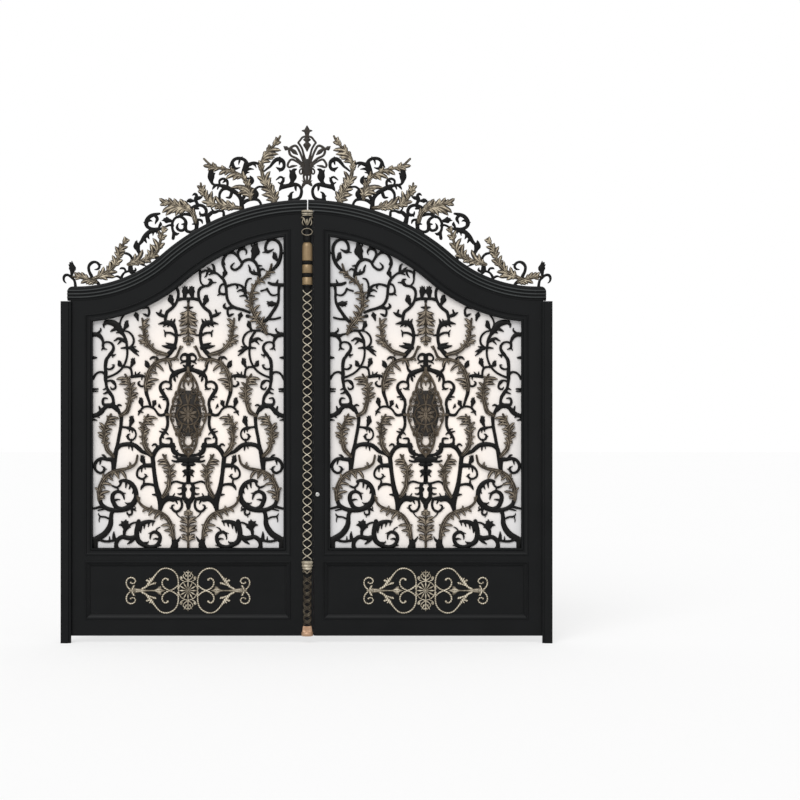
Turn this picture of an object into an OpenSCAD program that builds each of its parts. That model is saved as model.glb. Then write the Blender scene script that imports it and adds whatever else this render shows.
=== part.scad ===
// Double-leaf driveway gate: two hung leaves with an ogee top rail between slim posts,
// scrollwork over a pale backing sheet, a kick panel below and a scrolled crown above.
// Millimetres. X runs along the gate, Y away from the viewer, Z up. The origin is the
// middle of the left post's foot.

/* [Gate] */
// Width over both posts
overall_w = 3200; // [2900:10:3500]
// Height of the cap's top at the posts
arch_low_z = 2324; // [2250:1:2400]
// Rise of the cap from the posts to the middle of the gate
arch_rise = 566; // [500:1:620]
// Share of the ogee's width that is hollow
arch_share = 0.368; // [0.3:0.001:0.45]
// Gap under the leaves
ground_gap = 45; // [25:1:70]

// Flat length of the cap next to each post
arch_flat = 100; // [80:1:140]

/* [Posts] */
// Width of a post with its stop lip
post_w = 65; // [60:1:80]
// Depth of a post
post_d = 92; // [85:1:110]
// Width of the stop lip in front of the leaf's edge
lip_w = 15; // [12:1:20]

/* [Leaf frame] */
// Depth of the stiles and rails
leaf_d = 60; // [50:1:70]
// Width of the outer stile
stile_w = 95; // [85:1:110]
// Distance from the gate's middle to the meeting stile's inner edge
meet_w = 105; // [95:1:120]
// Height of the arched rail under the cap
rail_h = 92; // [80:1:110]
// Height of the cap
cap_h = 92; // [85:1:100]
// Width of the moulding round the grille
bead_w = 48; // [40:1:56]
// Width of the moulding round the kick panel
kick_bead_w = 34; // [26:1:40]
// Top of the bottom rail
kick_z0 = 150; // [130:1:170]
// Underside of the middle rail
kick_z1 = 531; // [500:1:545]
// Top of the middle rail
mid_z1 = 569; // [560:1:590]

/* [Column] */
// Radius of the column's widest rings
column_r = 39; // [34:1:42]
// Radius of the column's shaft
shaft_r = 30; // [26:1:33]

// Drop from the cap's top to the column's top
column_drop = 71; // [60:1:80]
// Height of the column's foot
foot_h = 65; // [55:1:80]
// Height of the ring above the lower shaft
ring_z = 497; // [470:1:515]
// Height of the capital
capital_h = 190; // [170:1:210]

/* [Ornament] */
// Thickness of the grille scrolls
vine_t = 12; // [8:1:16]
// Thickness of the leaves on the grille
leaf_t = 6; // [4:1:9]
// Thickness of the medallions
medal_t = 11; // [8:1:14]
// Thickness of the crown scrolls
crown_t = 12; // [8:1:16]
// Thickness of the kick panel's ornament
kick_t = 7; // [5:1:10]

/* [Hinges] */
// Height of the lowest hinge
hinge_low_z = 330; // [280:5:380]
// Height of the middle hinge
hinge_mid_z = 1180; // [1100:5:1250]
// Distance of the top hinge below the post's top
hinge_drop = 190; // [170:5:240]
// Length of one hinge barrel
hinge_h = 62; // [54:1:70]
// Radius of a hinge barrel
hinge_r = 14; // [12:0.5:16]
// Radius of a hinge pin
pin_r = 8; // [6:0.5:9]

/* [Lock] */
// Height of the lock cylinder
lock_z = 967; // [900:1:1050]
// Radius of the lock cylinder
lock_r = 14; // [11:0.5:17]

/* [Clearances] */
// Gap between post and leaf at the hinges
post_gap = 8; // [6:0.5:12]
// Gap between the meeting stiles
centre_gap = 7; // [7:0.5:10]
// Gap between the two caps at the top
top_gap = 10; // [8:0.5:12]

/* [Hidden] */
fit = 0.2;
half_w = overall_w / 2;
mid_x = half_w - post_w / 2;
arch_high_z = arch_low_z + arch_rise;
post_h = arch_low_z - cap_h - 6;
leaf_y = leaf_d / 2;
leaf_x0 = -half_w + post_w - lip_w + post_gap;
frame_x0 = leaf_x0 + stile_w;
frame_x1 = -meet_w;
open_x0 = frame_x0 + bead_w;
open_x1 = frame_x1 - bead_w;
axis_x = (open_x0 + open_x1) / 2;
sill_z = mid_z1 + bead_w;
column_x = 3;
meet_edge = column_x + column_r;
column_top = arch_high_z - column_drop;
hinge_x = leaf_x0 - post_gap / 2;
hinge_y = leaf_y + 20;

// The ogee: a hollow arc from the post and a round arc to the middle, tangent where they meet.
arch_x0 = -half_w + arch_flat;
arch_turn = 2 * atan(arch_rise / -arch_x0);
arch_sum = -arch_x0 / sin(arch_turn);
arch_r1 = arch_sum * arch_share;
arch_r2 = arch_sum - arch_r1;
arch_n = 14;

function hollow_pt(d, a) =
    [arch_x0 + (arch_r1 + d) * sin(a), arch_low_z + arch_r1 - (arch_r1 + d) * cos(a)];
function round_pt(d, b) = [-(arch_r2 - d) * sin(b), arch_high_z - arch_r2 + (arch_r2 - d) * cos(b)];

// Points of the ogee at depth d under the cap's top, cut at x0 and x1
function ogee_line(d) = concat(
    [[-half_w, arch_low_z - d]],
    [for (i = [0 : arch_n]) hollow_pt(d, arch_turn * i / arch_n)],
    [for (i = [arch_n - 1 : -1 : 0]) round_pt(d, arch_turn * i / arch_n)],
    [[half_w, arch_high_z - d]]);
function line_z(p, x, i = 0) = x <= p[i + 1][0] || i == len(p) - 2
    ? p[i][1] + (p[i + 1][1] - p[i][1]) * (x - p[i][0]) / (p[i + 1][0] - p[i][0]) : line_z(p, x, i + 1);
function ogee_z(d, x) = line_z(ogee_line(d), x);
function ogee(d, x0, x1) = concat(
    [[x0, ogee_z(d, x0)]],
    [for (p = ogee_line(d)) if (p[0] > x0 + 0.01 && p[0] < x1 - 0.01) p],
    [[x1, ogee_z(d, x1)]]);
function back(p) = [for (i = [len(p) - 1 : -1 : 0]) p[i]];

frame_d = cap_h + rail_h;
open_d = frame_d + bead_w;
joint_z0 = ogee_z(frame_d, frame_x0);
joint_z1 = ogee_z(frame_d, frame_x1);

charcoal = [0.035, 0.036, 0.035];
charcoal2 = [0.05, 0.05, 0.048];
bronze = [0.33, 0.27, 0.17];
gold = [0.52, 0.42, 0.24];
opal = [0.90, 0.88, 0.85];
steel = [0.7, 0.7, 0.7];

// A flat outline drawn in X and Z, given thickness from y0 to y1
module plate(y0, y1) translate([0, y1, 0]) rotate([90, 0, 0]) linear_extrude(y1 - y0) children();
module at_gate() translate([mid_x, 0, 0]) children();
module left_side() at_gate() children();
module right_side() at_gate() mirror([1, 0, 0]) children();
module bar(x0, x1, y0, y1, z0, z1) translate([x0, y0, z0]) cube([x1 - x0, y1 - y0, z1 - z0]);

// Posts and hinges
module post_shape() {
    y0 = leaf_y - post_d;
    union() {
        bar(-half_w, -half_w + post_w - lip_w, y0, leaf_y, 0, post_h);
        bar(-half_w + post_w - lip_w - 1, -half_w + post_w, y0 + 8, -leaf_y - 6, 0, post_h);
    }
}
hinge_zs = [hinge_low_z, hinge_mid_z, post_h - hinge_drop];
pin_h = hinge_h - 18;
tab_w = 40;
module post_hinge_shape() for (z = hinge_zs) translate([hinge_x, hinge_y, z]) union() {
    cylinder(r = hinge_r, h = hinge_h, $fn = 48);
    cylinder(r = pin_r, h = hinge_h + pin_h, $fn = 48);
    translate([-tab_w, leaf_y - hinge_y, 4]) cube([tab_w - post_gap / 2, 10, hinge_h - 8]);
}
module leaf_hinge_shape() for (z = hinge_zs) translate([hinge_x, hinge_y, z + hinge_h + 0.4]) difference() {
    union() {
        cylinder(r = hinge_r, h = hinge_h, $fn = 48);
        translate([post_gap / 2, leaf_y - hinge_y, 4]) cube([tab_w - post_gap / 2, 10, hinge_h - 8]);
    }
    translate([0, 0, -1]) cylinder(r = pin_r + 0.05, h = pin_h + 3, $fn = 48);
}

// Leaf frame
module outer_stile_shape() bar(leaf_x0, frame_x0, -leaf_y, leaf_y, ground_gap, joint_z0);
module meeting_stile_shape(edge) bar(frame_x1, edge, -leaf_y, leaf_y, ground_gap, joint_z1);
module middle_rail_shape() bar(frame_x0, frame_x1, -leaf_y, leaf_y, kick_z1, mid_z1);
module bottom_rail_shape() bar(frame_x0, frame_x1, -leaf_y, leaf_y, ground_gap, kick_z0);
module arched_rail_shape(edge, tab) plate(-leaf_y, leaf_y) polygon(concat(
    ogee(cap_h + fit, leaf_x0, edge),
    tab,
    [[frame_x1, joint_z1]],
    back(ogee(frame_d, frame_x0, frame_x1)),
    [[leaf_x0, joint_z0]]));
module band(d0, d1, x0, x1) polygon(concat(ogee(d0, x0, x1), back(ogee(d1, x0, x1))));
cap_x0 = leaf_x0 - 19;
cap_edge = -1;
reed_h = 15;
reed_y = 16;
reed_ds = [20, 42, 64];
module cap_shape(edge, notch_x, notch_y, notch_z) difference() {
    union() {
        plate(-leaf_y - 8, leaf_y + 8) band(0, cap_h, cap_x0, edge);
        for (d = reed_ds) plate(-leaf_y - reed_y, leaf_y + reed_y) band(d, d + reed_h, cap_x0, edge);
    }
    bar(notch_x, meet_edge, -leaf_d, notch_y, arch_high_z - 2 * cap_h, notch_z);
}
module cap_end_shape(x0, x1, z0) union() {
    bar(x0, x1, -leaf_y - 8, leaf_y + 8, z0, arch_high_z);
    for (d = reed_ds) if (arch_high_z - d - reed_h > z0)
        bar(x0, x1, -leaf_y - reed_y, leaf_y + reed_y, arch_high_z - d - reed_h, arch_high_z - d);
}

// Mouldings, sheet and kick panel
module opening(inset) polygon(concat(
    [[open_x1 - inset, sill_z + inset], [open_x0 + inset, sill_z + inset]],
    ogee(open_d + inset, open_x0 + inset, open_x1 - inset)));
module frame_hole(inset) polygon(concat(
    [[frame_x1 - inset, mid_z1 + inset], [frame_x0 + inset, mid_z1 + inset]],
    ogee(frame_d + inset, frame_x0 + inset, frame_x1 - inset)));
module panel_moulding_shape() plate(-leaf_y - 6, 20) difference() {
    frame_hole(fit);
    opening(0);
}
module backing_sheet_shape() plate(0, 6) opening(fit);
module kick_rect(inset) translate([frame_x0 + inset, kick_z0 + inset])
    square([frame_x1 - frame_x0 - 2 * inset, kick_z1 - kick_z0 - 2 * inset]);
module kick_moulding_shape() plate(-leaf_y - 6, 20) difference() {
    kick_rect(fit);
    kick_rect(kick_bead_w);
}
kick_y = 16;
module kick_panel_shape() plate(-kick_y, kick_y) kick_rect(kick_bead_w + fit);

// Column on the left leaf: half-round turnings on the front of the meeting stile
module turned(profile) translate([column_x, -leaf_y, 0]) rotate([0, 0, 180])
    rotate_extrude(angle = 180, $fn = 48) polygon(profile);
foot_z = ground_gap + foot_h;
capital_z = column_top - capital_h;
sleeve_r = shaft_r + 3;
module column_foot_shape() turned([
    [0, ground_gap], [column_r - 1, ground_gap], [column_r - 1, ground_gap + 30],
    [shaft_r + 4, ground_gap + 34], [shaft_r + 2, foot_z], [0, foot_z]]);
module column_shaft_shape() turned([
    [0, foot_z], [shaft_r, foot_z], [shaft_r, ring_z], [column_r - 3, ring_z + 8],
    [column_r - 1, ring_z + 18], [sleeve_r, ring_z + 34], [shaft_r, ring_z + 38],
    [shaft_r, capital_z - 296], [sleeve_r, capital_z - 296], [sleeve_r, capital_z - 245],
    [shaft_r - 3, capital_z - 240],
    [shaft_r - 3, capital_z - 222], [sleeve_r, capital_z - 218], [sleeve_r, capital_z - 166],
    [shaft_r - 3, capital_z - 160], [shaft_r - 3, capital_z - 146], [sleeve_r, capital_z - 142],
    [sleeve_r, capital_z - 38], [shaft_r - 2, capital_z - 14], [shaft_r - 8, capital_z], [0, capital_z]]);
module column_capital_shape() turned([
    [0, capital_z], [shaft_r - 2, capital_z], [shaft_r + 2, capital_z + 22],
    [column_r, capital_z + 44], [shaft_r + 2, capital_z + 70], [shaft_r - 6, capital_z + 82],
    [shaft_r, capital_z + 100], [column_r, capital_z + 145], [column_r - 6, capital_z + 160],
    [shaft_r, capital_z + 166], [column_r - 4, capital_z + 178], [column_r, capital_z + 182],
    [column_r, column_top], [0, column_top]]);

// A spline through hand-set points, drawn as a stroke of changing width
function knot(a, b, c, d, t) = 0.5 * (2 * b + (c - a) * t + (2 * a - 5 * b + 4 * c - d) * t * t
    + (3 * b - a - 3 * c + d) * t * t * t);
function spline(p, n) = concat(
    [for (i = [0 : len(p) - 2]) for (j = [0 : n - 1])
        knot(p[max(i - 1, 0)], p[i], p[i + 1], p[min(i + 2, len(p) - 1)], j / n)],
    [p[len(p) - 1]]);
function dir(p, i) =
    let (v = p[min(i + 1, len(p) - 1)] - p[max(i - 1, 0)])
    [v[0], v[1]] / norm([v[0], v[1]]);
function side(p, i, s) =
    let (d = dir(p, i))
    [p[i][0] - d[1] * s * p[i][2] / 2, p[i][1] + d[0] * s * p[i][2] / 2];
module stroke(p, n = 1) {
    q = spline(p, n);
    for (i = [0 : len(q) - 2])
        polygon([side(q, i, 1), side(q, i + 1, 1), side(q, i + 1, -1), side(q, i, -1)]);
}
module bud(b) {
    stroke([[b[0], b[1], 10], [b[2], b[3], b[4]], [b[5], b[6], 4]]);
    stroke([[b[2], b[3], b[4] * 0.7], [b[7], b[8], 4]]);
}
module vines(rows, buds, n = 1) {
    for (r = rows) stroke(r, n);
    for (b = buds) bud(b);
}

// A leaf is a rib that swells and tapers, with a lobe from the rib to each tip
function swell(t) = 12 + 20 * sin(180 * min(1, t * 0.8 + 0.12));
function rib_pts(r) =
    let (n = len(r) - 1)
    [for (i = [0 : n]) [r[i][0], r[i][1], i == n ? 6 : swell(i / n)]];
function gap2(a, b) = norm([a[0] - b[0], a[1] - b[1]]);
function near(q, p, i = 0, k = 0) =
    i == len(q) ? k : near(q, p, i + 1, gap2(q[i], p) < gap2(q[k], p) ? i : k);
module leaf(l) {
    q = spline(rib_pts(l[0]), 1);
    for (i = [0 : len(q) - 2])
        polygon([side(q, i, 1), side(q, i + 1, 1), side(q, i + 1, -1), side(q, i, -1)]);
    for (t = l[1]) {
        k = max(0, near(q, t) - 1);
        d = dir(q, k);
        m = [(q[k][0] + t[0]) / 2 - d[0] * 6, (q[k][1] + t[1]) / 2 - d[1] * 6, 20];
        stroke([[q[k][0], q[k][1], 22], m, [t[0], t[1], 5]]);
    }
}
module leaves(rows) for (l = rows) leaf(l);
module both() {
    children();
    mirror([1, 0]) children();
}
module whole() offset(delta = -0.2) offset(delta = 0.4) offset(delta = -0.2) children();

// Scrolls on both halves of a grille: distance from its axis, height and width at each point
vine_both = [
    [[95,612,45],[88,640,38],[95,670,25],[97,692,16]],
    [[325,790,24],[335,740,28],[338,700,28],[325,660,28],[295,638,25],[255,622,22],[215,628,22],
        [190,655,20],[185,690,20],[200,712,20],[225,720,18],[243,708,14],[250,685,8],[249,673,5]],
    [[222,790,10],[250,790,18],[285,783,24],[315,765,28],[332,735,28]],
    [[185,752,5],[203,742,8],[211,727,8],[205,715,8]],
    [[48,930,14],[42,905,14],[45,880,14],[60,860,14],[80,853,14],[98,862,14],[108,880,12],[104,893,10],
        [92,897,4]],
    [[178,880,20],[170,905,24],[150,930,30],[125,938,30],[100,930,24]],
    [[50,935,18],[80,940,22],[120,943,26],[160,945,28],[190,950,30]],
    [[185,865,22],[183,900,28],[185,935,34],[200,980,30],[212,1030,26],[222,1100,22],[230,1170,24],
        [235,1220,24]],
    [[625,655,40],[590,680,34],[550,705,34],[522,740,32],[508,775,28],[506,810,24],[502,840,22],
        [490,862,22]],
    [[522,808,10],[545,818,10],[570,820,10],[583,828,8],[588,840,4]],
    [[470,672,16],[500,662,14],[530,658,14],[560,662,14],[590,675,20]],
    [[610,612,30],[612,650,34],[620,665,40]],
    [[447,1050,16],[425,1057,18],[395,1050,22],[365,1028,26],[345,990,26],[342,950,26],[355,915,30],
        [385,885,32],[425,868,30],[470,862,26],[510,866,24],[548,882,24],[570,905,22],[580,935,22]],
    [[430,868,24],[465,878,24],[486,905,24],[497,940,24],[490,970,22],[462,985,18],[435,975,16],
        [424,955,12],[419,934,6]],
    [[440,1050,14],[445,1030,12],[460,1015,12],[475,1012,12],[497,1022,10]],
    [[465,1012,10],[460,995,10],[468,980,12]],
    [[375,878,12],[368,845,12],[380,832,12],[398,838,10],[401,850,6]],
    [[560,890,20],[590,880,14],[624,872,12]], [[325,778,10],[350,782,10],[375,772,12],[395,755,16]],
    [[418,725,20],[420,690,12]],
    [[335,695,24],[370,680,26],[400,682,26],[430,688,24],[455,675,24],[470,650,22],[472,625,24],
        [465,608,30]],
    [[0,1195,40],[40,1190,24],[80,1180,14],[105,1187,10]], [[0,1045,24],[0,1118,24],[0,1200,24]],
    [[0,1118,14],[22,1118,22],[36,1118,8]], [[0,1162,14],[28,1162,22],[43,1162,8]],
    [[0,1048,10],[20,1035,14],[28,1015,14],[15,1000,12],[28,980,14],[30,960,14],[15,940,12],[0,930,12]],
    [[20,1035,14],[50,1042,12],[80,1050,12],[105,1042,12],[120,1020,10]],
    [[28,952,14],[45,938,14],[60,938,14]],
    [[212,1022,16],[250,1032,14],[285,1030,18],[303,1015,16],[311,996,5]],
    [[232,1155,26],[262,1155,24],[290,1153,20],[318,1140,14],[334,1115,12],[335,1088,12],[320,1072,12],
        [298,1067,12],[281,1078,12],[277,1092,10],[288,1099,4]],
    [[295,1066,10],[290,1050,10],[293,1030,14]],
    [[492,1112,22],[488,1150,26],[487,1190,34],[478,1225,26],[470,1260,22],[462,1300,18],[455,1340,18],
        [447,1380,18],[441,1420,18],[438,1460,20],[440,1480,20],[452,1500,18],[465,1525,22],
        [490,1545,26]],
    [[490,1193,26],[535,1196,20],[570,1200,18],[598,1185,18],[613,1155,18],[606,1125,14],[585,1108,14],
        [565,1108,14],[551,1122,14],[551,1140,12],[567,1150,4]],
    [[610,1158,12],[626,1158,12]],
    [[135,1565,14],[138,1530,16],[145,1505,22],[140,1480,20],[136,1450,16],[136,1420,16],[143,1395,16],
        [155,1375,18],[172,1350,16],[183,1330,14],[182,1310,14],[178,1295,20],[150,1285,20]],
    [[100,1290,20],[130,1285,22],[160,1285,22],[190,1275,24],[210,1255,24],[225,1230,24],[235,1205,24]],
    [[100,1292,22],[100,1260,26],[85,1238,26],[50,1224,14],[0,1220,18]],
    [[118,1282,20],[111,1305,14],[113,1328,14],[130,1332,12],[148,1330,5]],
    [[172,1345,16],[162,1335,8]], [[200,1270,12],[212,1291,12],[225,1293,12],[237,1284,6]],
    [[140,1495,20],[170,1484,16],[192,1486,16],[206,1502,12],[220,1522,12],[242,1536,12],[268,1541,12],
        [292,1536,12],[310,1520,12],[320,1502,12],[328,1484,5]],
    [[465,1518,24],[490,1540,26],[520,1542,18],[548,1530,22],[570,1505,28],[595,1487,24],[624,1478,24]],
    [[572,1505,20],[583,1540,8]],
    [[235,1210,20],[262,1230,18],[300,1245,20],[320,1262,24],[350,1286,24],[385,1293,26],[420,1292,24],
        [450,1282,24],[472,1258,22]],
    [[378,1292,10],[372,1325,10]],
    [[444,1408,14],[410,1404,12],[385,1398,20],[362,1394,14],[347,1378,10],[343,1355,10],[350,1335,10],
        [368,1321,10],[388,1326,12],[397,1343,14],[393,1356,10],[382,1361,5]],
    [[133,1550,15],[137,1580,17],[152,1607,18],[170,1632,22],[183,1655,18],[183,1677,16],[170,1695,14],
        [150,1703,14],[130,1700,12],[115,1692,10]],
    [[0,1790,50],[25,1782,24],[60,1770,26],[85,1758,30],[105,1745,22],[116,1725,16],[118,1700,16],
        [113,1680,12],[118,1662,14],[132,1655,12],[148,1661,4]],
    [[0,1868,26],[0,1800,30]], [[85,1755,20],[72,1735,8]],
    [[88,1758,16],[108,1775,16],[118,1790,12],[124,1815,10],[132,1845,12]],
    [[246,1536,12],[262,1590,16],[274,1625,20],[277,1658,22]],
    [[275,1715,10],[288,1738,12],[310,1742,18],[340,1740,20],[372,1735,16]],
    [[272,1690,10],[295,1674,12],[312,1674,12],[325,1686,14],[326,1698,10],[316,1706,4]],
    [[542,1728,14],[505,1740,12],[470,1758,12],[440,1783,12],[420,1812,12],[408,1840,12],[401,1870,12],
        [399,1900,12],[402,1925,14]],
    [[430,1798,12],[400,1799,12],[382,1792,14],[372,1772,12],[369,1735,12]],
    [[530,1860,16],[538,1840,20],[543,1800,18],[540,1760,20],[542,1725,20],[538,1690,16],[532,1660,16],
        [515,1632,20],[497,1605,18],[490,1575,16],[495,1555,24],[515,1543,26]],
    [[542,1795,10],[525,1785,10],[506,1786,12],[492,1797,12],[486,1812,8],[500,1813,3]],
    [[540,1692,10],[528,1706,10],[508,1710,12],[490,1700,20],[477,1680,12],[477,1663,12],[490,1654,12],
        [503,1656,10],[509,1668,4]],
    [[543,1745,14],[557,1762,14],[575,1766,12],[595,1760,12],[610,1745,12],[624,1722,16]],
    [[500,1548,26],[530,1546,26],[555,1555,16],[560,1578,14],[550,1595,12],[528,1593,5]],
    [[437,1546,5],[450,1551,12],[464,1545,12],[475,1532,14]], [[624,1655,12],[592,1655,8]],
    [[624,1860,20],[600,1860,8]],
    [[530,1855,16],[513,1882,18],[498,1900,18],[490,1920,16],[492,1938,14],[505,1955,13],[525,1962,11],
        [545,1960,11],[556,1950,12]],
    [[624,2010,24],[600,2012,26],[580,2002,24],[565,1983,18],[557,1960,14],[559,1938,14],[552,1920,12],
        [533,1915,4]],
    [[600,2015,14],[580,2030,12],[572,2042,10],[575,2052,5]],
    [[415,2035,10],[395,2030,10],[375,2015,12],[362,1995,12],[357,1970,12],[363,1948,12],[380,1930,12],
        [402,1922,14]],
    [[390,1925,14],[365,1915,20],[345,1908,14],[325,1900,5]],
    [[408,1965,20],[440,1980,20],[460,1985,14],[475,1975,10],[487,1970,5]],
    [[250,1850,8],[235,1862,14],[210,1858,16],[190,1840,10]],
    [[140,1862,16],[128,1885,26],[108,1905,22],[92,1932,20],[83,1960,18],[79,1990,18],[80,2020,18],
        [88,2052,20],[105,2078,30],[135,2090,26],[165,2087,18],[195,2080,5]],
    [[85,2003,14],[108,2018,14],[130,2023,12],[150,2020,12],[152,1998,6]],
    [[90,1925,26],[125,1930,24],[150,1933,16],[172,1938,5]], [[82,2008,16],[50,2006,8]],
    [[0,1875,16],[25,1882,18],[45,1870,12],[50,1850,10],[35,1838,10],[10,1840,12]],
    [[150,2090,18],[150,2115,16],[145,2140,18],[138,2160,18],[112,2180,18],[88,2205,16],[73,2235,15],
        [66,2268,15],[68,2298,16],[82,2317,16],[105,2327,14],[130,2332,16],[147,2350,22],[145,2368,16],
        [130,2373,6]],
    [[188,2142,14],[178,2170,10]],
    [[300,2185,14],[270,2188,14],[258,2175,12],[257,2150,14],[265,2132,12],[280,2140,14],[297,2147,4]],
    [[0,2245,16],[35,2245,16],[64,2240,20]],
    [[105,2328,8],[85,2345,10],[77,2370,10],[77,2400,14],[73,2440,12]]];
// Scrolls on the hinge side only
vine_hinge = [
    [[402,1925,14],[405,1960,14],[412,1985,16],[425,2010,18],[445,2035,30],[460,2060,40],[480,2080,36],
        [510,2090,30],[540,2092,24]],
    [[540,2086,18],[553,2075,14],[552,2058,6]], [[460,2052,18],[490,2042,16],[508,2032,6]],
    [[440,2030,16],[470,2022,6]],
    [[420,2140,10],[440,2110,10],[447,2080,10],[440,2055,10],[425,2035,12]]];
// Scrolls on the meeting side only
vine_meet = [
    [[402,1925,14],[405,1975,14],[420,2005,14],[440,2035,14]],
    [[405,2045,10],[430,2037,12],[455,2037,14],[478,2035,14],[505,2020,12],[540,2012,12],[565,2003,20],
        [600,2008,24]],
    [[385,2132,20],[415,2125,14]], [[515,2112,16],[560,2112,12],[600,2122,12]],
    [[480,2080,16],[520,2115,20],[545,2150,18],[565,2180,18],[582,2210,16],[590,2245,14],[590,2285,14],
        [592,2315,16],[600,2335,18],[624,2335,20]],
    [[515,2310,14],[528,2285,12],[545,2270,12],[565,2268,10],[592,2278,8]],
    [[475,2296,10],[518,2308,10]], [[525,2350,14],[550,2340,18],[580,2338,18],[605,2335,20]],
    [[75,2412,14],[108,2428,12],[135,2428,14],[165,2418,18],[190,2408,12],[210,2390,14],[228,2372,16],
        [240,2345,18],[247,2310,16],[250,2270,16],[258,2235,16],[278,2205,16],[305,2187,18],
        [335,2178,16],[365,2170,16],[400,2155,14]],
    [[240,2345,12],[215,2335,12],[203,2310,10],[204,2285,14],[222,2275,14],[250,2277,12]],
    [[290,2188,16],[255,2180,14],[232,2195,16],[240,2212,8]],
    [[248,2325,16],[275,2335,14],[305,2340,12],[335,2335,12],[355,2322,16],[370,2300,20],[372,2275,16],
        [385,2250,12]],
    [[372,2300,10],[376,2345,12],[390,2372,12],[410,2378,8]],
    [[350,2480,14],[325,2520,14],[300,2540,12],[275,2545,12],[250,2535,14],[230,2505,16],[224,2475,16],
        [232,2450,14],[240,2430,14]],
    [[318,2528,12],[290,2555,12],[275,2575,14]],
    [[350,2480,14],[370,2495,16],[395,2502,16],[420,2497,18],[440,2480,18],[452,2455,16],[460,2430,18],
        [465,2395,20]],
    [[393,2465,6],[402,2445,12],[405,2425,14],[425,2412,18],[460,2408,20]],
    [[352,2478,16],[338,2500,14],[325,2525,16],[325,2550,14],[340,2567,14],[362,2572,14],[378,2560,12],
        [380,2545,8],[375,2535,4]],
    [[366,2570,12],[362,2605,10]],
    [[352,2478,14],[340,2455,14],[310,2435,14],[288,2440,14],[280,2458,12],[300,2480,5]],
    [[415,2590,10],[408,2625,10]],
    [[545,2428,12],[565,2447,18],[587,2475,20],[600,2510,20],[606,2550,18],[604,2585,18],[592,2612,18],
        [570,2628,16],[545,2633,16],[522,2622,16],[508,2598,16],[504,2570,16],[515,2553,20],
        [535,2557,14],[557,2570,4]],
    [[540,2632,14],[540,2665,14]], [[606,2545,14],[626,2545,12]]];
// Buds: stem, body, body width, tip and second tip
buds_both = [
    [395,755,412,768,52,408,802,455,765], [418,725,405,760,46,440,790,378,750],
    [278,1152,300,1192,30,285,1214,310,1224], [384,1408,370,1448,32,362,1480,386,1473],
    [180,1530,190,1543,16,182,1545,192,1558], [235,1534,222,1563,26,212,1582,237,1576],
    [300,1536,310,1573,30,298,1592,318,1600], [246,1782,270,1815,30,262,1832,283,1842],
    [377,1797,362,1830,30,352,1858,376,1852], [428,1800,448,1816,28,440,1834,460,1842],
    [330,2105,340,2140,32,330,2122,346,2158], [98,2200,115,2240,36,103,2264,125,2270],
    [28,2245,20,2295,40,8,2325,38,2322]];
// Buds on the hinge side only
buds_hinge = [
    [425,2040,405,2072,30,415,2096,395,2104]];
// Buds on the meeting side only
buds_meet = [
    [415,2040,396,2075,28,390,2102,408,2092], [580,2212,545,2212,34,513,2228,522,2196],
    [225,2380,240,2415,30,246,2432,232,2432], [418,2500,438,2555,54,450,2613,418,2590],
    [590,2485,565,2520,30,555,2552,578,2540]];
// Acanthus leaves: the rib from base to tip, then the tips of the lobes
leaves_both = [
    [[[583,930],[582,985],[568,1035],[540,1080],[500,1110],[450,1125],[400,1135],[365,1150],[342,1175],
        [332,1220]],[[540,955],[510,985],[495,1025],[490,1055],[450,1065],[405,1065],[612,1010],
        [560,1105],[385,1180]]],
    [[[95,680],[105,740],[125,790],[150,825],[190,850],[240,865],[290,885],[320,915],[332,955]],
        [[130,700],[160,730],[180,760],[185,800],[225,800],[260,825],[240,895],[85,770],[300,850]]],
    [[[165,950],[130,1010],[125,1060],[120,1130],[145,1190],[165,1225]],[[85,1165],[75,1120],[80,1090],
        [165,1120],[175,1140],[205,1180],[200,1160],[160,1045],[140,1228]]],
    [[[277,1650],[277,1690],[268,1730],[255,1770],[230,1808],[195,1835],[150,1848],[110,1848],[80,1865],
        [65,1895],[50,1933]],[[240,1660],[215,1690],[190,1715],[200,1755],[160,1770],[110,1795],
        [290,1760],[215,1860],[60,1840]]],
    [[[240,1225],[270,1260],[285,1290],[292,1340],[295,1390],[290,1430],[262,1487]],[[290,1482],
        [200,1460],[230,1445],[220,1420],[248,1392],[255,1370],[262,1335],[258,1300],[325,1440],
        [330,1400],[325,1345],[318,1300]]],
    [[[490,1215],[530,1260],[540,1300],[548,1350],[545,1400],[530,1440],[505,1490]],[[535,1482],
        [450,1460],[472,1443],[468,1420],[495,1392],[505,1368],[515,1335],[508,1305],[582,1435],
        [585,1410],[595,1370],[590,1348],[570,1305]]],
    [[[445,1480],[405,1505],[390,1540],[380,1580],[375,1630],[380,1680],[395,1720],[412,1750]],
        [[472,1717],[445,1705],[455,1685],[425,1655],[418,1630],[410,1595],[415,1563],[325,1628],
        [330,1605],[335,1665],[345,1700],[375,1742]]],
    [[[140,1880],[200,1895],[240,1920],[268,1955],[285,2000],[292,2050],[300,2115]],[[275,1925],
        [320,1950],[330,1970],[330,2005],[325,2060],[225,1955],[245,1975],[255,2010],[260,2035],
        [250,2075],[265,2095],[250,2115]]]];
// The tall leaf on the meeting side only
leaves_meet = [
    [[[512,2015],[488,2065],[455,2105],[430,2150],[412,2200],[412,2260],[425,2310],[450,2350],
        [500,2388],[530,2425],[545,2470]],[[520,2075],[500,2130],[478,2165],[470,2205],[460,2245],
        [470,2280],[370,2200],[365,2235],[380,2290],[410,2345],[455,2395],[505,2345],[535,2385],
        [505,2430],[570,2415]]]];
// Leaf on the axis at the sill
leaf_foot = [
    [[0,610],[0,650],[0,700],[0,760],[0,810],[0,860]], [[40,690],[52,735],[50,780],[34,825]]];
// Leaf hanging on the axis near the top
leaf_drop = [
    [[0,2190],[0,2130],[0,2080],[0,2030],[0,1980],[0,1945]],
    [[50,2105],[58,2075],[62,2040],[58,2005],[42,1975]]];
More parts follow.
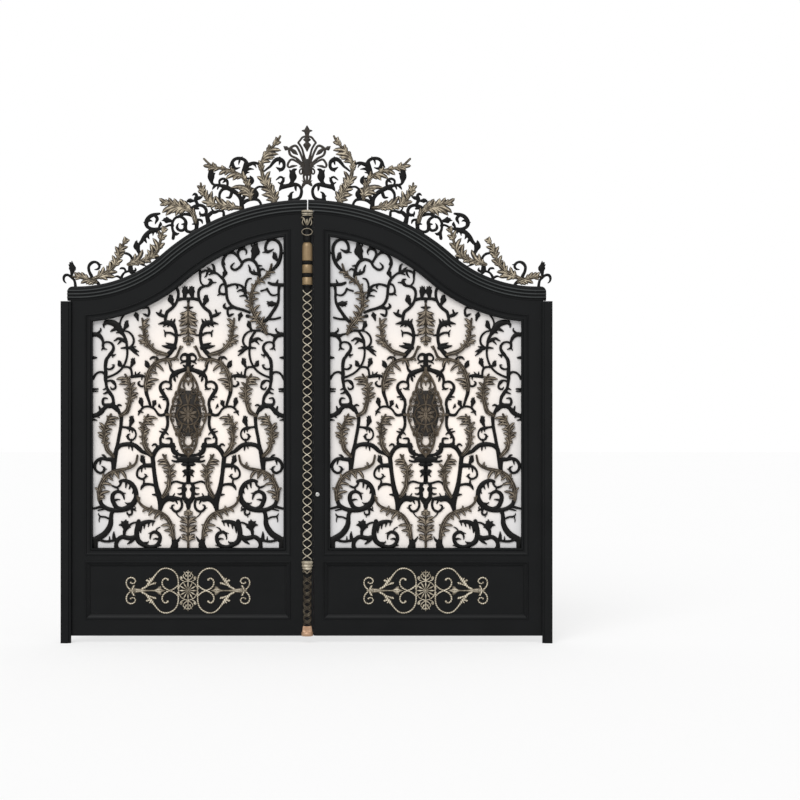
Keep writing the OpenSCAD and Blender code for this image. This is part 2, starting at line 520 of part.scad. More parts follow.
// Edge of the medallion, half
medal_edge = [
    [0,1214], [22,1226], [36,1248], [44,1268], [57,1295], [70,1330], [81,1370], [95,1400], [106,1430],
    [118,1470], [118,1505], [110,1550], [96,1600], [80,1630], [62,1680], [46,1722], [26,1750],
    [0,1790]];
// Scrolls of the crown: distance from the middle of the gate, height and width
crown_vines = [
    [[88,2944,5],[100,2938,12],[108,2922,20],[110,2900,22],[112,2880,24]], [[108,2918,14],[123,2917,8]],
    [[112,2890,20],[75,2893,18],[48,2908,18],[37,2935,17],[38,2962,16],[52,2985,16],[75,2993,20],
        [100,2990,24],[135,2982,24],[165,2975,26],[180,2955,10]],
    [[75,2992,16],[75,2968,14],[72,2952,6]],
    [[165,2975,24],[165,3000,18],[155,3020,16],[158,3035,12],[175,3042,12],[190,3032,10],[202,3022,5]],
    [[158,3025,12],[146,3037,5]], [[168,2995,14],[188,3006,6]],
    [[110,2990,24],[98,3012,22],[92,3040,42],[94,3065,34],[86,3085,22],[72,3092,10]],
    [[98,3060,20],[108,3080,14],[116,3096,8]],
    [[262,3095,12],[240,3112,14],[225,3132,18],[205,3153,22],[180,3158,24],[158,3145,22],[150,3125,18],
        [154,3102,18],[170,3090,20],[185,3095,16],[201,3105,5]],
    [[175,3155,18],[180,3132,10],[182,3122,5]], [[178,3160,12],[178,3174,5]],
    [[172,3090,14],[180,3077,6]],
    [[425,2820,30],[430,2880,22],[440,2910,22],[460,2935,24],[485,2952,26],[515,2968,26],[540,2978,26],
        [565,2985,18],[595,2988,16],[610,2975,14],[618,2962,6]],
    [[578,2985,14],[586,2963,7]],
    [[525,2970,24],[550,2962,18],[568,2940,16],[573,2915,14],[566,2885,14]],
    [[490,2952,20],[497,2925,18],[507,2908,16],[528,2908,7]],
    [[530,2972,18],[520,2995,14],[525,3018,16],[545,3030,14],[565,3025,14],[574,3010,12],[568,2985,12]],
    [[532,3020,16],[545,3010,10],[552,3003,4]],
    [[595,2988,14],[615,2995,14],[625,3012,20],[628,3040,38],[628,3068,32],[630,3102,18]],
    [[620,3050,24],[604,3066,8]],
    [[400,2985,14],[375,2992,12],[360,3010,22],[360,3030,18],[372,3047,7]],
    [[362,3028,18],[385,3032,12],[396,3032,5]],
    [[300,2850,16],[305,2872,14],[320,2890,16],[345,2897,18],[380,2892,18],[405,2882,20],[428,2862,20]],
    [[350,2895,14],[335,2925,34],[342,2952,22],[360,2968,10],[380,2972,12]],
    [[262,2980,12],[290,2977,12],[318,2977,12],[342,2960,14]],
    [[428,2895,20],[415,2908,20],[410,2925,14],[432,2928,6]],
    [[430,3050,14],[415,3065,30],[405,3090,34],[398,3120,32],[402,3145,20],[422,3160,18],[450,3164,18],
        [475,3156,18],[490,3137,18],[498,3120,14],[509,3105,6]],
    [[488,3135,16],[482,3112,18],[468,3097,16],[440,3103,5]],
    [[438,3160,14],[444,3140,10],[447,3124,4]], [[425,3160,12],[424,3174,5]],
    [[398,3118,26],[375,3125,22],[350,3133,18],[325,3130,14],[305,3112,14]],
    [[352,3130,16],[338,3115,9],[333,3103,4]], [[400,3088,20],[375,3095,14],[350,3092,5]],
    [[410,3068,16],[380,3072,6]],
    [[764,2800,20],[757,2828,24],[735,2846,24],[705,2857,18],[675,2848,18],[660,2825,18],[662,2802,18],
        [680,2792,18],[698,2797,14],[702,2814,6]],
    [[690,2794,14],[700,2782,5]], [[738,2842,22],[712,2835,12]],
    [[712,2858,16],[725,2880,18],[727,2900,22],[722,2920,16],[735,2930,16],[749,2922,5]],
    [[728,2898,20],[705,2905,20],[688,2912,10]], [[640,2720,30],[652,2775,24],[662,2805,18]],
    [[545,2790,16],[548,2816,14],[575,2820,14],[600,2812,18],[625,2808,22],[652,2780,22]],
    [[612,2815,14],[629,2842,5]], [[732,2760,18],[705,2762,14],[690,2755,14],[684,2738,6]],
    [[730,2640,24],[722,2720,22],[725,2745,30],[738,2775,24],[750,2800,18]],
    [[728,2737,18],[749,2733,7]],
    [[722,2712,14],[738,2692,14],[765,2682,16],[790,2692,18],[797,2720,22],[793,2745,20],[805,2768,16],
        [832,2783,16],[858,2776,14],[874,2758,14],[882,2735,16],[880,2700,14],[872,2675,18],
        [876,2640,18]],
    [[740,2785,20],[775,2797,18],[810,2797,16],[845,2780,16]], [[795,2735,18],[819,2732,7]],
    [[797,2708,18],[815,2692,16],[838,2695,16],[850,2710,16],[847,2728,10],[840,2738,4]],
    [[872,2678,18],[855,2668,18],[839,2673,6]],
    [[880,2724,18],[900,2727,12],[925,2716,12],[942,2708,12]],
    [[965,2802,12],[1000,2795,20],[1025,2785,22],[1045,2765,22],[1052,2740,24],[1045,2718,20],
        [1025,2705,18],[1000,2700,18],[975,2702,18],[950,2703,14],[930,2706,12]],
    [[1000,2793,18],[985,2780,18],[980,2765,18],[988,2748,12],[993,2735,5]],
    [[1045,2755,20],[1025,2757,12],[1013,2752,4]], [[1052,2742,14],[1069,2745,4]],
    [[975,2698,24],[1010,2690,28],[1035,2680,24],[1055,2660,26],[1070,2640,24],[1082,2620,20],
        [1100,2600,16]],
    [[985,2690,14],[982,2670,4]], [[1005,2685,16],[1008,2660,5]],
    [[1045,2668,24],[1040,2650,14],[1033,2638,6]], [[1068,2642,20],[1057,2625,14],[1050,2612,6]],
    [[970,2700,14],[965,2720,14],[958,2733,18],[960,2747,5]],
    [[975,2480,24],[985,2515,16],[1000,2530,14],[1020,2520,12]],
    [[1148,2420,24],[1150,2460,16],[1146,2505,14],[1156,2527,14],[1178,2541,14],[1215,2545,10]],
    [[1100,2478,10],[1075,2466,9],[1048,2458,6]],
    [[1225,2340,20],[1215,2378,16],[1210,2395,14],[1195,2415,12],[1170,2425,12],[1145,2420,14],
        [1122,2432,14],[1125,2447,5]],
    [[1165,2425,12],[1163,2455,12],[1155,2480,16]],
    [[1185,2420,12],[1195,2442,12],[1215,2445,12],[1224,2440,5]],
    [[1215,2378,14],[1240,2392,12],[1262,2388,5]],
    [[1340,2290,24],[1365,2345,18],[1400,2372,20],[1412,2398,18],[1425,2425,16],[1428,2455,16],
        [1412,2478,18],[1388,2486,14],[1365,2475,14],[1358,2455,14],[1368,2440,12],[1388,2436,5]],
    [[1365,2470,12],[1343,2468,4]],
    [[1513,2305,18],[1520,2360,14],[1540,2384,14],[1562,2400,14],[1583,2398,16],[1592,2380,14],
        [1588,2360,10],[1576,2348,5]]];
// Buds of the crown
crown_buds = [
    [1540,2395,1535,2445,40,1538,2492,1560,2468], [1092,2530,1115,2590,38,1113,2628,1128,2606],
    [880,2752,918,2760,36,950,2757,918,2782], [728,2885,765,2887,26,790,2878,778,2898]];
// Leaves of the crown
crown_leaf_rows = [
    [[[1380,2352],[1430,2372],[1480,2384],[1530,2390]],[[1475,2420],[1500,2420],[1480,2345],[1430,2335],
        [1520,2420]]],
    [[[1400,2375],[1340,2400],[1280,2440],[1240,2500],[1225,2560],[1190,2620],[1180,2637]],[[1330,2455],
        [1290,2490],[1275,2530],[1255,2588],[1240,2420],[1255,2385],[1205,2500],[1195,2545],[1170,2585],
        [1225,2610]]],
    [[[1170,2470],[1140,2478],[1090,2487],[1040,2505],[1000,2532],[972,2570],[960,2620],[945,2675],
        [928,2712]],[[1120,2518],[1075,2567],[1030,2560],[1027,2605],[1010,2642],[1060,2470],[930,2610],
        [915,2660],[975,2690],[908,2700]]],
    [[[728,2745],[740,2790],[770,2828],[830,2848],[880,2860],[930,2870],[945,2875]],[[778,2852],
        [810,2887],[832,2898],[870,2902],[905,2907],[918,2888],[800,2818],[860,2808],[885,2805],
        [925,2790],[948,2808],[740,2840]]],
    [[[430,2838],[500,2845],[570,2852],[630,2872],[665,2912],[688,2960],[695,3000]],[[520,2890],
        [565,2902],[595,2917],[632,2917],[652,2957],[620,2952],[715,2950],[690,2880],[660,2850],
        [720,2985],[665,2990]]],
    [[[370,2895],[372,2935],[385,2985],[410,3030],[440,3055],[500,3082],[560,3097],[620,3112],
        [674,3160]],[[422,2958],[452,2965],[497,2972],[487,3035],[532,3030],[577,3055],[500,3110],
        [560,3118],[617,3140],[650,3085],[680,3115]]],
    [[[205,2868],[215,2910],[245,2960],[275,3010],[292,3060],[296,3120],[280,3180],[240,3225],
        [200,3265],[176,3308]],[[185,2950],[218,2992],[302,2962],[298,2925],[255,2888],[240,3080],
        [238,3035],[328,3045],[322,3120],[318,3150],[210,3172],[187,3190],[170,3215],[247,3257],
        [278,3212],[213,3287],[205,3305]]]];
// Petals of the palmette, half
petals = [
    [[8,3140,14],[20,3180,12],[32,3225,11],[50,3256,11],[57,3266,11],[45,3282,11],[28,3302,11],
        [0,3308,12]],
    [[20,3135,14],[35,3175,12],[52,3215,12],[72,3245,13],[98,3240,13],[116,3222,13],[114,3195,13],
        [100,3178,12],[70,3164,12],[40,3138,12],[22,3118,12]],
    [[24,3110,14],[55,3135,12],[85,3152,12],[105,3155,12],[120,3138,12],[127,3118,12],[118,3105,10],
        [95,3112,14],[66,3116,5]],
    [[100,3230,10],[122,3228,12],[136,3230,24],[150,3240,8]], [[136,3226,16],[142,3218,6]],
    [[62,3188,6],[82,3205,22],[104,3222,14]],
    [[0,3212,8],[0,3230,22],[0,3252,40],[0,3270,18],[0,3285,40],[0,3300,20],[0,3320,22],[0,3345,30],
        [0,3372,10]],
    [[0,3342,14],[22,3344,12],[32,3344,6]], [[14,3068,16],[35,3074,12],[50,3066,12],[54,3050,6]],
    [[20,3100,14],[40,3097,10],[54,3096,6]]];
// Edge of the palmette's stem, half
palm_edge = [
    [0,2978], [24,2982], [30,2998], [22,3012], [30,3030], [26,3060], [30,3090], [26,3120], [22,3150],
    [0,3160]];
// Quarter of the kick ornament: distance from the axis, height from its middle line, width
kick_vines = [
    [[300,12,14],[275,24,16],[258,44,20],[240,67,24],[222,90,14],[200,118,11],[175,139,11],[145,146,11],
        [115,140,11],[90,124,11],[72,100,11],[64,70,11],[63,42,11],[65,12,11]],
    [[66,-34,10],[90,-13,11],[118,0,11],[145,12,12],[163,30,12],[169,54,12],[160,74,12],[143,80,11],
        [130,70,9]],
    [[64,36,12],[40,28,16],[20,18,16],[0,12,14]], [[64,42,12],[40,56,16],[24,66,14],[0,84,16]],
    [[62,82,10],[46,76,14],[38,76,12]], [[60,96,10],[42,108,14],[24,112,14],[6,96,12],[0,90,12]],
    [[0,130,12],[0,112,14],[0,80,16]], [[0,128,10],[14,124,6]],
    [[300,10,12],[262,32,9],[240,40,10],[222,48,16],[212,50,12]], [[250,60,12],[264,66,14],[272,66,8]],
    [[244,70,10],[250,80,10]], [[365,8,14],[356,26,14],[350,32,8]],
    [[378,8,11],[396,27,11],[403,52,11],[395,75,11],[375,85,11],[355,80,11],[343,64,10],[350,50,10],
        [363,46,9],[375,52,6]]];
// Strokes of the kick ornament on its middle line
kick_axis = [
    [[0,0,24],[40,0,16],[66,0,8]],
    [[152,0,5],[172,0,22],[188,0,44],[205,0,40],[222,0,18],[260,0,16],[300,0,28],[340,0,28],[352,0,34],
        [366,0,28],[396,0,20]],
    [[188,0,20],[180,20,12],[178,28,5]], [[188,0,20],[180,-20,12],[178,-28,5]]];

// The grille is drawn for an opening of this half-width and height and stretched to fit
drawn_w = 623;
drawn_sill = 617;
drawn_h = 2041;
crown_w = 1500;
crown_z = 2890;
grille_kx = (open_x1 - open_x0) / 2 / drawn_w;
grille_kz = (arch_high_z - open_d - sill_z) / drawn_h;
crown_kx = -arch_x0 / crown_w;
kick_z = (kick_z0 + kick_z1) / 2 - 2;
module in_grille()
    translate([axis_x, sill_z]) scale([grille_kx, grille_kz]) translate([0, -drawn_sill]) children();
module in_crown() translate([0, arch_high_z]) scale([-crown_kx, 1]) translate([0, -crown_z]) children();
module above_cap()
    polygon(concat(ogee(-fit, -half_w, cap_edge),
        [[cap_edge, 2 * arch_high_z], [-half_w, 2 * arch_high_z]]));

module grille_scroll_shape() plate(-vine_t, 0) whole() intersection() {
    opening(fit);
    in_grille() union() {
        both() vines(vine_both, buds_both);
        mirror([1, 0]) vines(vine_hinge, buds_hinge);
        vines(vine_meet, buds_meet);
    }
}
module grille_leaf_shape() plate(-vine_t - leaf_t, -vine_t) whole() intersection() {
    opening(fit);
    in_grille() union() {
        both() leaves(leaves_both);
        both() leaves([leaf_foot, leaf_drop]);
        leaves(leaves_meet);
    }
}
module medallion_shape() plate(-vine_t - medal_t, -vine_t) whole() in_grille() both() polygon(medal_edge);
module crown_scroll_face() whole() intersection() {
    above_cap();
    in_crown() vines(crown_vines, crown_buds, 2);
}
module crown_scroll_shape() plate(-crown_t / 2, crown_t / 2) crown_scroll_face();
module crown_leaf_shape() plate(-crown_t / 2 - leaf_t, -crown_t / 2) whole() intersection() {
    above_cap();
    in_crown() leaves(crown_leaf_rows);
}
// Its link butts against the nearest scroll of the left crown
module palmette_face() whole() translate([0, arch_high_z - crown_z]) union() {
    both() vines(petals, [], 2);
    both() polygon(palm_edge);
    stroke([[-38, 2962, 15], [-24, 2972, 15], [0, 2992, 22]]);
}
module palmette_shape() plate(-crown_t / 2, crown_t / 2) difference() {
    palmette_face();
    crown_scroll_face();
}
module kick_ornament_shape() plate(-kick_y - kick_t, -kick_y) whole() translate([axis_x, kick_z]) union() {
    both() vines(kick_vines, []);
    mirror([0, 1]) both() vines(kick_vines, []);
    both() vines(kick_axis, []);
}
lock_x = -meet_w + 35;
lock_t = 9;
module lock_shape()
    translate([lock_x, -leaf_y, lock_z]) rotate([90, 0, 0]) cylinder(r = lock_r, h = lock_t, $fn = 48);

module left_post() color(charcoal) left_side() post_shape();
module right_post() color(charcoal) right_side() post_shape();
module left_post_hinges() color(charcoal2) left_side() post_hinge_shape();
module right_post_hinges() color(charcoal2) right_side() post_hinge_shape();
module left_leaf_hinges() color(charcoal2) left_side() leaf_hinge_shape();
module right_leaf_hinges() color(charcoal2) right_side() leaf_hinge_shape();
module left_outer_stile() color(charcoal) left_side() outer_stile_shape();
module right_outer_stile() color(charcoal) right_side() outer_stile_shape();
module left_meeting_stile() color(charcoal) left_side() meeting_stile_shape(meet_edge);
module right_meeting_stile() color(charcoal) right_side() meeting_stile_shape(-meet_edge - centre_gap);
module left_arched_rail() color(charcoal) left_side() arched_rail_shape(cap_edge + fit,
    [[cap_edge + fit, column_top], [meet_edge, column_top], [meet_edge, joint_z1]]);
module right_arched_rail() color(charcoal) right_side() arched_rail_shape(-meet_edge - centre_gap,
    [[-meet_edge - centre_gap, joint_z1]]);
module left_middle_rail() color(charcoal) left_side() middle_rail_shape();
module right_middle_rail() color(charcoal) right_side() middle_rail_shape();
module left_bottom_rail() color(charcoal) left_side() bottom_rail_shape();
module right_bottom_rail() color(charcoal) right_side() bottom_rail_shape();
module left_cap() color(charcoal2) left_side()
    cap_shape(cap_edge, column_x - column_r - fit, -leaf_y, column_top + fit);
module right_cap() color(charcoal2) right_side()
    cap_shape(-meet_edge - centre_gap, 0, -leaf_y, column_top + fit);
module right_cap_end() color(charcoal2) right_side()
    cap_end_shape(-meet_edge - centre_gap, -cap_edge - top_gap, column_top + centre_gap);
module left_panel_moulding() color(charcoal2) left_side() panel_moulding_shape();
module right_panel_moulding() color(charcoal2) right_side() panel_moulding_shape();
module left_backing_sheet() color(opal) left_side() backing_sheet_shape();
module right_backing_sheet() color(opal) right_side() backing_sheet_shape();
module left_kick_moulding() color(charcoal2) left_side() kick_moulding_shape();
module right_kick_moulding() color(charcoal2) right_side() kick_moulding_shape();
module left_kick_panel() color(charcoal) left_side() kick_panel_shape();
module right_kick_panel() color(charcoal) right_side() kick_panel_shape();
module column_foot() color(gold) left_side() column_foot_shape();
module column_shaft() color(gold) left_side() column_shaft_shape();
module column_capital() color(gold) left_side() column_capital_shape();
module left_grille_scrolls() color(charcoal) left_side() grille_scroll_shape();
module right_grille_scrolls() color(charcoal) right_side() grille_scroll_shape();
module left_grille_leaves() color(bronze) left_side() grille_leaf_shape();
module right_grille_leaves() color(bronze) right_side() grille_leaf_shape();
module left_medallion() color(bronze) left_side() medallion_shape();
module right_medallion() color(bronze) right_side() medallion_shape();
module left_kick_ornament() color(gold) left_side() kick_ornament_shape();
module right_kick_ornament() color(gold) right_side() kick_ornament_shape();
module left_crown_scrolls() color(charcoal) left_side() crown_scroll_shape();
module right_crown_scrolls() color(charcoal) right_side() crown_scroll_shape();
module left_crown_leaves() color(bronze) left_side() crown_leaf_shape();
module right_crown_leaves() color(bronze) right_side() crown_leaf_shape();
module palmette() color(bronze) left_side() palmette_shape();
module lock_cylinder() color(steel) right_side() lock_shape();

left_post();
right_post();
left_post_hinges();
right_post_hinges();
left_leaf_hinges();
right_leaf_hinges();
left_outer_stile();
right_outer_stile();
left_meeting_stile();
right_meeting_stile();
left_arched_rail();
right_arched_rail();
left_middle_rail();
right_middle_rail();
left_bottom_rail();
right_bottom_rail();
left_cap();
right_cap();
left_panel_moulding();
right_panel_moulding();
left_backing_sheet();
right_backing_sheet();
left_kick_moulding();
right_kick_moulding();
left_kick_panel();
right_kick_panel();
column_shaft();
right_cap_end();
column_foot();
column_capital();
left_grille_scrolls();
right_grille_scrolls();
left_grille_leaves();
right_grille_leaves();
left_medallion();
right_medallion();
left_kick_ornament();
right_kick_ornament();
left_crown_scrolls();
right_crown_scrolls();
left_crown_leaves();
right_crown_leaves();
palmette();
lock_cylinder();
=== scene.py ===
import math
import bmesh
import bpy
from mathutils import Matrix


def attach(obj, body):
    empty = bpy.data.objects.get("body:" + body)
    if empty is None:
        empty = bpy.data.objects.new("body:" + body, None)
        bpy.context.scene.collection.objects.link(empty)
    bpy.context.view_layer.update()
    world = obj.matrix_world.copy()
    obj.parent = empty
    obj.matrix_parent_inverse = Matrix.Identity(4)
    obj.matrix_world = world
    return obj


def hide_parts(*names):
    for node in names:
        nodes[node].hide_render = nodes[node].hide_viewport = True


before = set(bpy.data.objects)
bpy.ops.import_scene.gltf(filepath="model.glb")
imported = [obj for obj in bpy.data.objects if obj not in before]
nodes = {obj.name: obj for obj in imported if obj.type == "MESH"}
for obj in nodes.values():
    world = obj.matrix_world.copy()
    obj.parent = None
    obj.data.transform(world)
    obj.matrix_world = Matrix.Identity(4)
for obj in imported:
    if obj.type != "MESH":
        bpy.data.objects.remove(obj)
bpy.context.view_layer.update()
print("frame:", len(nodes), "nodes")

# All lengths are in mm up to the mesh; x runs from the gate's middle
mm = 0.001
gate = {
    "midX": 1567.5,      # gate middle in the frame
    "axisX": -776.0,     # middle of the left panel
    "archX0": -1500.0, "archLow": 2324.0, "archRise": 566.0, "archShare": 0.368,
    "frameX0": -1447.0, "frameX1": -105.0, "frameD": 184.0,
    "panelZ": 569.0, "kickZ0": 150.0, "kickZ1": 531.0,
}
archTurn = 2 * math.atan(gate["archRise"] / -gate["archX0"])
archSum = -gate["archX0"] / math.sin(archTurn)
archHollow = gate["archShare"] * archSum
archRound = archSum - archHollow
archHigh = gate["archLow"] + gate["archRise"]
leafBodies = {-1: "left", 1: "right"}


class Wire:
    def __init__(self, tree, socket):
        self.tree, self.socket = tree, socket

    def sum(self, how, a, b):
        node = self.tree.nodes.new("ShaderNodeMath")
        node.operation = how
        plug(self.tree, node.inputs[0], a)
        plug(self.tree, node.inputs[1], b)
        return Wire(self.tree, node.outputs[0])

    def __add__(self, other): return self.sum("ADD", self, other)
    def __radd__(self, other): return self.sum("ADD", other, self)
    def __sub__(self, other): return self.sum("SUBTRACT", self, other)
    def __rsub__(self, other): return self.sum("SUBTRACT", other, self)
    def __mul__(self, other): return self.sum("MULTIPLY", self, other)
    def __rmul__(self, other): return self.sum("MULTIPLY", other, self)
    def __truediv__(self, other): return self.sum("DIVIDE", self, other)
    def __rtruediv__(self, other): return self.sum("DIVIDE", other, self)
    def __pow__(self, other): return self.sum("POWER", self, other)
    def out(self, name): return Wire(self.tree, self.socket.node.outputs[name])


def plug(tree, slot, value):
    if isinstance(value, Wire):
        tree.links.new(value.socket, slot)
    else:
        slot.default_value = value


class Finish:
    def __init__(self, name, owner=None):
        self.owner = owner or bpy.data.materials.new(name)
        self.owner.use_nodes = True
        self.tree = self.owner.node_tree
        self.tree.nodes.clear()

    def make(self, kind, settings=None, sockets=None, output=0):
        node = self.tree.nodes.new(kind)
        for key, value in (settings or {}).items():
            if key == "stops":  # a ramp's colours
                ramp = node.color_ramp.elements
                while len(ramp) < len(value):
                    ramp.new(0.5)
                for stop, (place, colour) in zip(ramp, value):
                    stop.position, stop.color = place, colour
            else:
                setattr(node, key, value)
        for key, value in (sockets or {}).items():
            plug(self.tree, node.inputs[key], value)
        return Wire(self.tree, node.outputs[output]) if len(node.outputs) else node

    def place(self):
        return self.make("ShaderNodeTexCoord", output="Object")

    def noise(self, scale, detail=3.0, rough=0.5):
        return self.make("ShaderNodeTexNoise", None, {"Vector": self.place(), "Scale": scale,
                         "Detail": detail, "Roughness": rough})

    # on the cap this holds a painted highlight along the reed crests
    def lift(self):  # how far a point stands out of the relief, set by the meshes
        return self.make("ShaderNodeAttribute", {"attribute_name": "lift"}, output="Fac")

    def blend(self, factor, low, high):
        return self.make("ShaderNodeMix", {"data_type": "RGBA"}, {0: factor, 6: low, 7: high}, output=2)

    def ramp(self, factor, stops):
        return self.make("ShaderNodeValToRGB", {"stops": stops}, {"Fac": factor})

    def bump(self, height, strength, distance):
        return self.make("ShaderNodeBump", None, {"Height": height, "Strength": strength, "Distance": distance})

    def show(self, sockets):
        skin = self.make("ShaderNodeBsdfPrincipled", None, sockets)
        self.make("ShaderNodeOutputMaterial", None, {"Surface": skin})
        return self.owner


def tone(r, g, b):
    return (r, g, b, 1.0)


# Charcoal paint: cloudy patches under a fine grain; where a highlight colour is given, a painted highlight turns
# the crests paler
paintLook = {"patch": 5.0, "grain": 900.0, "cloud": 0.16, "shine": 0.13, "bump": (0.14, 0.0006), "crestHighlight": (0.4, 0.9)}


def charcoalPaint(name, dark, light, gloss, highlightColour=None):
    f = Finish(name)
    patch = f.noise(paintLook["patch"], 4.0)
    grain = f.noise(paintLook["grain"], 2.0)
    coat = f.blend(patch, dark, light)
    if highlightColour:
        least, more = paintLook["crestHighlight"]
        coat = f.blend(f.lift() * (least + more * patch), coat, highlightColour)
    return f.show({"Base Color": coat, "Roughness": gloss + paintLook["cloud"] * patch,
                   "Specular IOR Level": paintLook["shine"], "Normal": f.bump(grain, *paintLook["bump"])})


# Antique bronze and gold: dark in the hollows, pale where the relief is worn
antiqueLook = {"patch": 34.0, "fine": 420.0, "worn": (0.44, 0.96), "speck": 0.26, "gloss": 0.36, "matt": 0.2,
               "metal": 0.2, "shine": 0.4, "bump": (0.25, 0.0008)}


def antiqueLeaf(name, *stops):
    f = Finish(name)
    patch = f.noise(antiqueLook["patch"], 5.0, 0.6)
    fine = f.noise(antiqueLook["fine"], 3.0, 0.6)
    least, more = antiqueLook["worn"]
    worn = f.lift() * (least + more * patch) + (fine - 0.5) * antiqueLook["speck"]
    return f.show({"Base Color": f.ramp(worn, [(place, tone(*colour)) for place, *colour in stops]),
                   "Roughness": antiqueLook["gloss"] + antiqueLook["matt"] * fine,
                   "Metallic": antiqueLook["metal"], "Specular IOR Level": antiqueLook["shine"],
                   "Normal": f.bump(fine, *antiqueLook["bump"])})


# Opal sheet: warm in the middle, with painted shade greying it towards its edges; lengths in metres
opalLook = {"halfWide": 0.70, "halfHigh": 1.05, "midZ": 1.42, "cloud": 2.4, "drift": 0.35, "edge": (0.35, 1.15),
            "warm": tone(0.93, 0.85, 0.78), "shadeGrey": tone(0.66, 0.655, 0.66), "grain": 1400.0, "gloss": 0.5,
            "matt": 0.2, "shine": 0.2, "bump": (0.08, 0.0004)}


def opalSheet(name, centreX):
    f = Finish(name)
    co = f.make("ShaderNodeSeparateXYZ", None, {"Vector": f.place()})
    across = (co.out("X") - centreX) / opalLook["halfWide"]
    up = (co.out("Z") - opalLook["midZ"]) / opalLook["halfHigh"]
    away = (across * across + up * up) ** 0.5
    cloud = f.noise(opalLook["cloud"], 3.0)
    near, far = opalLook["edge"]
    # painted shade: the sheet greys from its middle towards its edges, the border drifted by cloud noise
    fade = f.make("ShaderNodeMapRange", {"interpolation_type": "SMOOTHSTEP"},
                  {"Value": away + (cloud - 0.5) * opalLook["drift"], "From Min": near, "From Max": far})
    grain = f.noise(opalLook["grain"], 2.0)
    return f.show({"Base Color": f.blend(fade, opalLook["warm"], opalLook["shadeGrey"]),
                   "Roughness": opalLook["gloss"] + opalLook["matt"] * grain,
                   "Specular IOR Level": opalLook["shine"], "Normal": f.bump(grain, *opalLook["bump"])})


# Turned metal of the column's plain parts and the lock
turnedLook = {"patch": 60.0, "fine": 700.0, "matt": 0.2, "bump": (0.15, 0.0005)}


def turnedBrass(name, low, high, gloss, metal):
    f = Finish(name)
    patch = f.noise(turnedLook["patch"], 5.0, 0.6)
    fine = f.noise(turnedLook["fine"], 3.0)
    return f.show({"Base Color": f.blend(patch, low, high), "Roughness": gloss + turnedLook["matt"] * fine,
                   "Metallic": metal, "Normal": f.bump(fine, *turnedLook["bump"])})


charcoalDark, charcoalLight = tone(0.0022, 0.0026, 0.0028), tone(0.005, 0.0055, 0.006)
framePaint = charcoalPaint("frame_charcoal", charcoalDark, charcoalLight, 0.36)
# the cap's paler grey is a painted highlight along its reed crests
capPaint = charcoalPaint("cap_charcoal", charcoalDark, charcoalLight, 0.36, tone(0.055, 0.06, 0.06))
scrollPaint = charcoalPaint("scroll_black", tone(0.002, 0.002, 0.002), tone(0.005, 0.0047, 0.0044), 0.40)
# stops of a ramp: how worn, then the colour there
leafBronze = antiqueLeaf("leaf_bronze", (0.0, 0.005, 0.004, 0.003), (0.35, 0.014, 0.01, 0.007),
                         (0.7, 0.085, 0.066, 0.043), (1.0, 0.60, 0.52, 0.385))
grilleBronze = antiqueLeaf("grille_bronze", (0.0, 0.005, 0.004, 0.003), (0.35, 0.013, 0.0095, 0.007),
                           (0.7, 0.07, 0.054, 0.038), (1.0, 0.38, 0.315, 0.235))
palmBronze = antiqueLeaf("palm_bronze", (0.0, 0.004, 0.003, 0.002), (0.55, 0.014, 0.010, 0.007),
                         (1.0, 0.055, 0.041, 0.027))
medalBronze = antiqueLeaf("medal_bronze", (0.0, 0.004, 0.003, 0.002), (0.5, 0.02, 0.015, 0.011),
                          (1.0, 0.27, 0.215, 0.155))
ropeGold = antiqueLeaf("rope_gold", (0.0, 0.014, 0.010, 0.007), (0.45, 0.09, 0.073, 0.051),
                       (0.8, 0.34, 0.295, 0.22), (1.0, 0.66, 0.60, 0.48))
sleeveBrass = turnedBrass("sleeve_brass", tone(0.17, 0.115, 0.055), tone(0.29, 0.20, 0.105), 0.3, 0.35)
footCopper = turnedBrass("foot_copper", tone(0.30, 0.17, 0.09), tone(0.55, 0.36, 0.24), 0.28, 0.4)
lockSteel = turnedBrass("lock_steel", tone(0.38, 0.38, 0.37), tone(0.6, 0.6, 0.58), 0.22, 0.9)
print("finishes ready")


class Casting:
    def __init__(self):
        self.points, self.faces, self.lifts = [], [], []

    # rings of equal length joined in turn; lifts is one number for all or a row for each ring
    def loft(self, rings, lifts=0.0, ends=True):
        start, n = len(self.points), len(rings[0])
        if isinstance(lifts, float):
            lifts = [[lifts] * n] * len(rings)
        for ring, lift in zip(rings, lifts):
            self.points.extend(ring)
            self.lifts.extend(lift)
        for r in range(len(rings) - 1):
            for i in range(n):
                a, b = start + r * n + i, start + r * n + (i + 1) % n
                self.faces.append((a, b, b + n, a + n))
        if ends:
            self.faces.append(tuple(range(start + n - 1, start - 1, -1)))
            last = start + (len(rings) - 1) * n
            self.faces.append(tuple(range(last, last + n)))

    def piece(self, name, finish, body, replaced=(), crease=40):
        mesh = bpy.data.meshes.new(name)
        mesh.from_pydata([((gate["midX"] + x) * mm, y * mm, z * mm) for x, y, z in self.points], [], self.faces)
        mesh.attributes.new("lift", "FLOAT", "POINT").data.foreach_set("value", self.lifts)
        work = bmesh.new()
        work.from_mesh(mesh)
        bmesh.ops.dissolve_degenerate(work, dist=1e-6, edges=work.edges)
        bmesh.ops.recalc_face_normals(work, faces=work.faces)
        work.to_mesh(mesh)
        work.free()
        mesh.polygons.foreach_set("use_smooth", [True] * len(mesh.polygons))
        mesh.set_sharp_from_angle(angle=math.radians(crease))
        mesh.materials.append(finish)
        obj = bpy.data.objects.new(name, mesh)
        bpy.context.scene.collection.objects.link(obj)
        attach(obj, body)
        if replaced:
            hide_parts(*replaced)
        print("piece:", name, len(mesh.polygons), "faces")


# Strokes are flat rows: u, z, width, u, z, width and so on
def points(row, size=3):
    return [row[i:i + size] for i in range(0, len(row), size)]


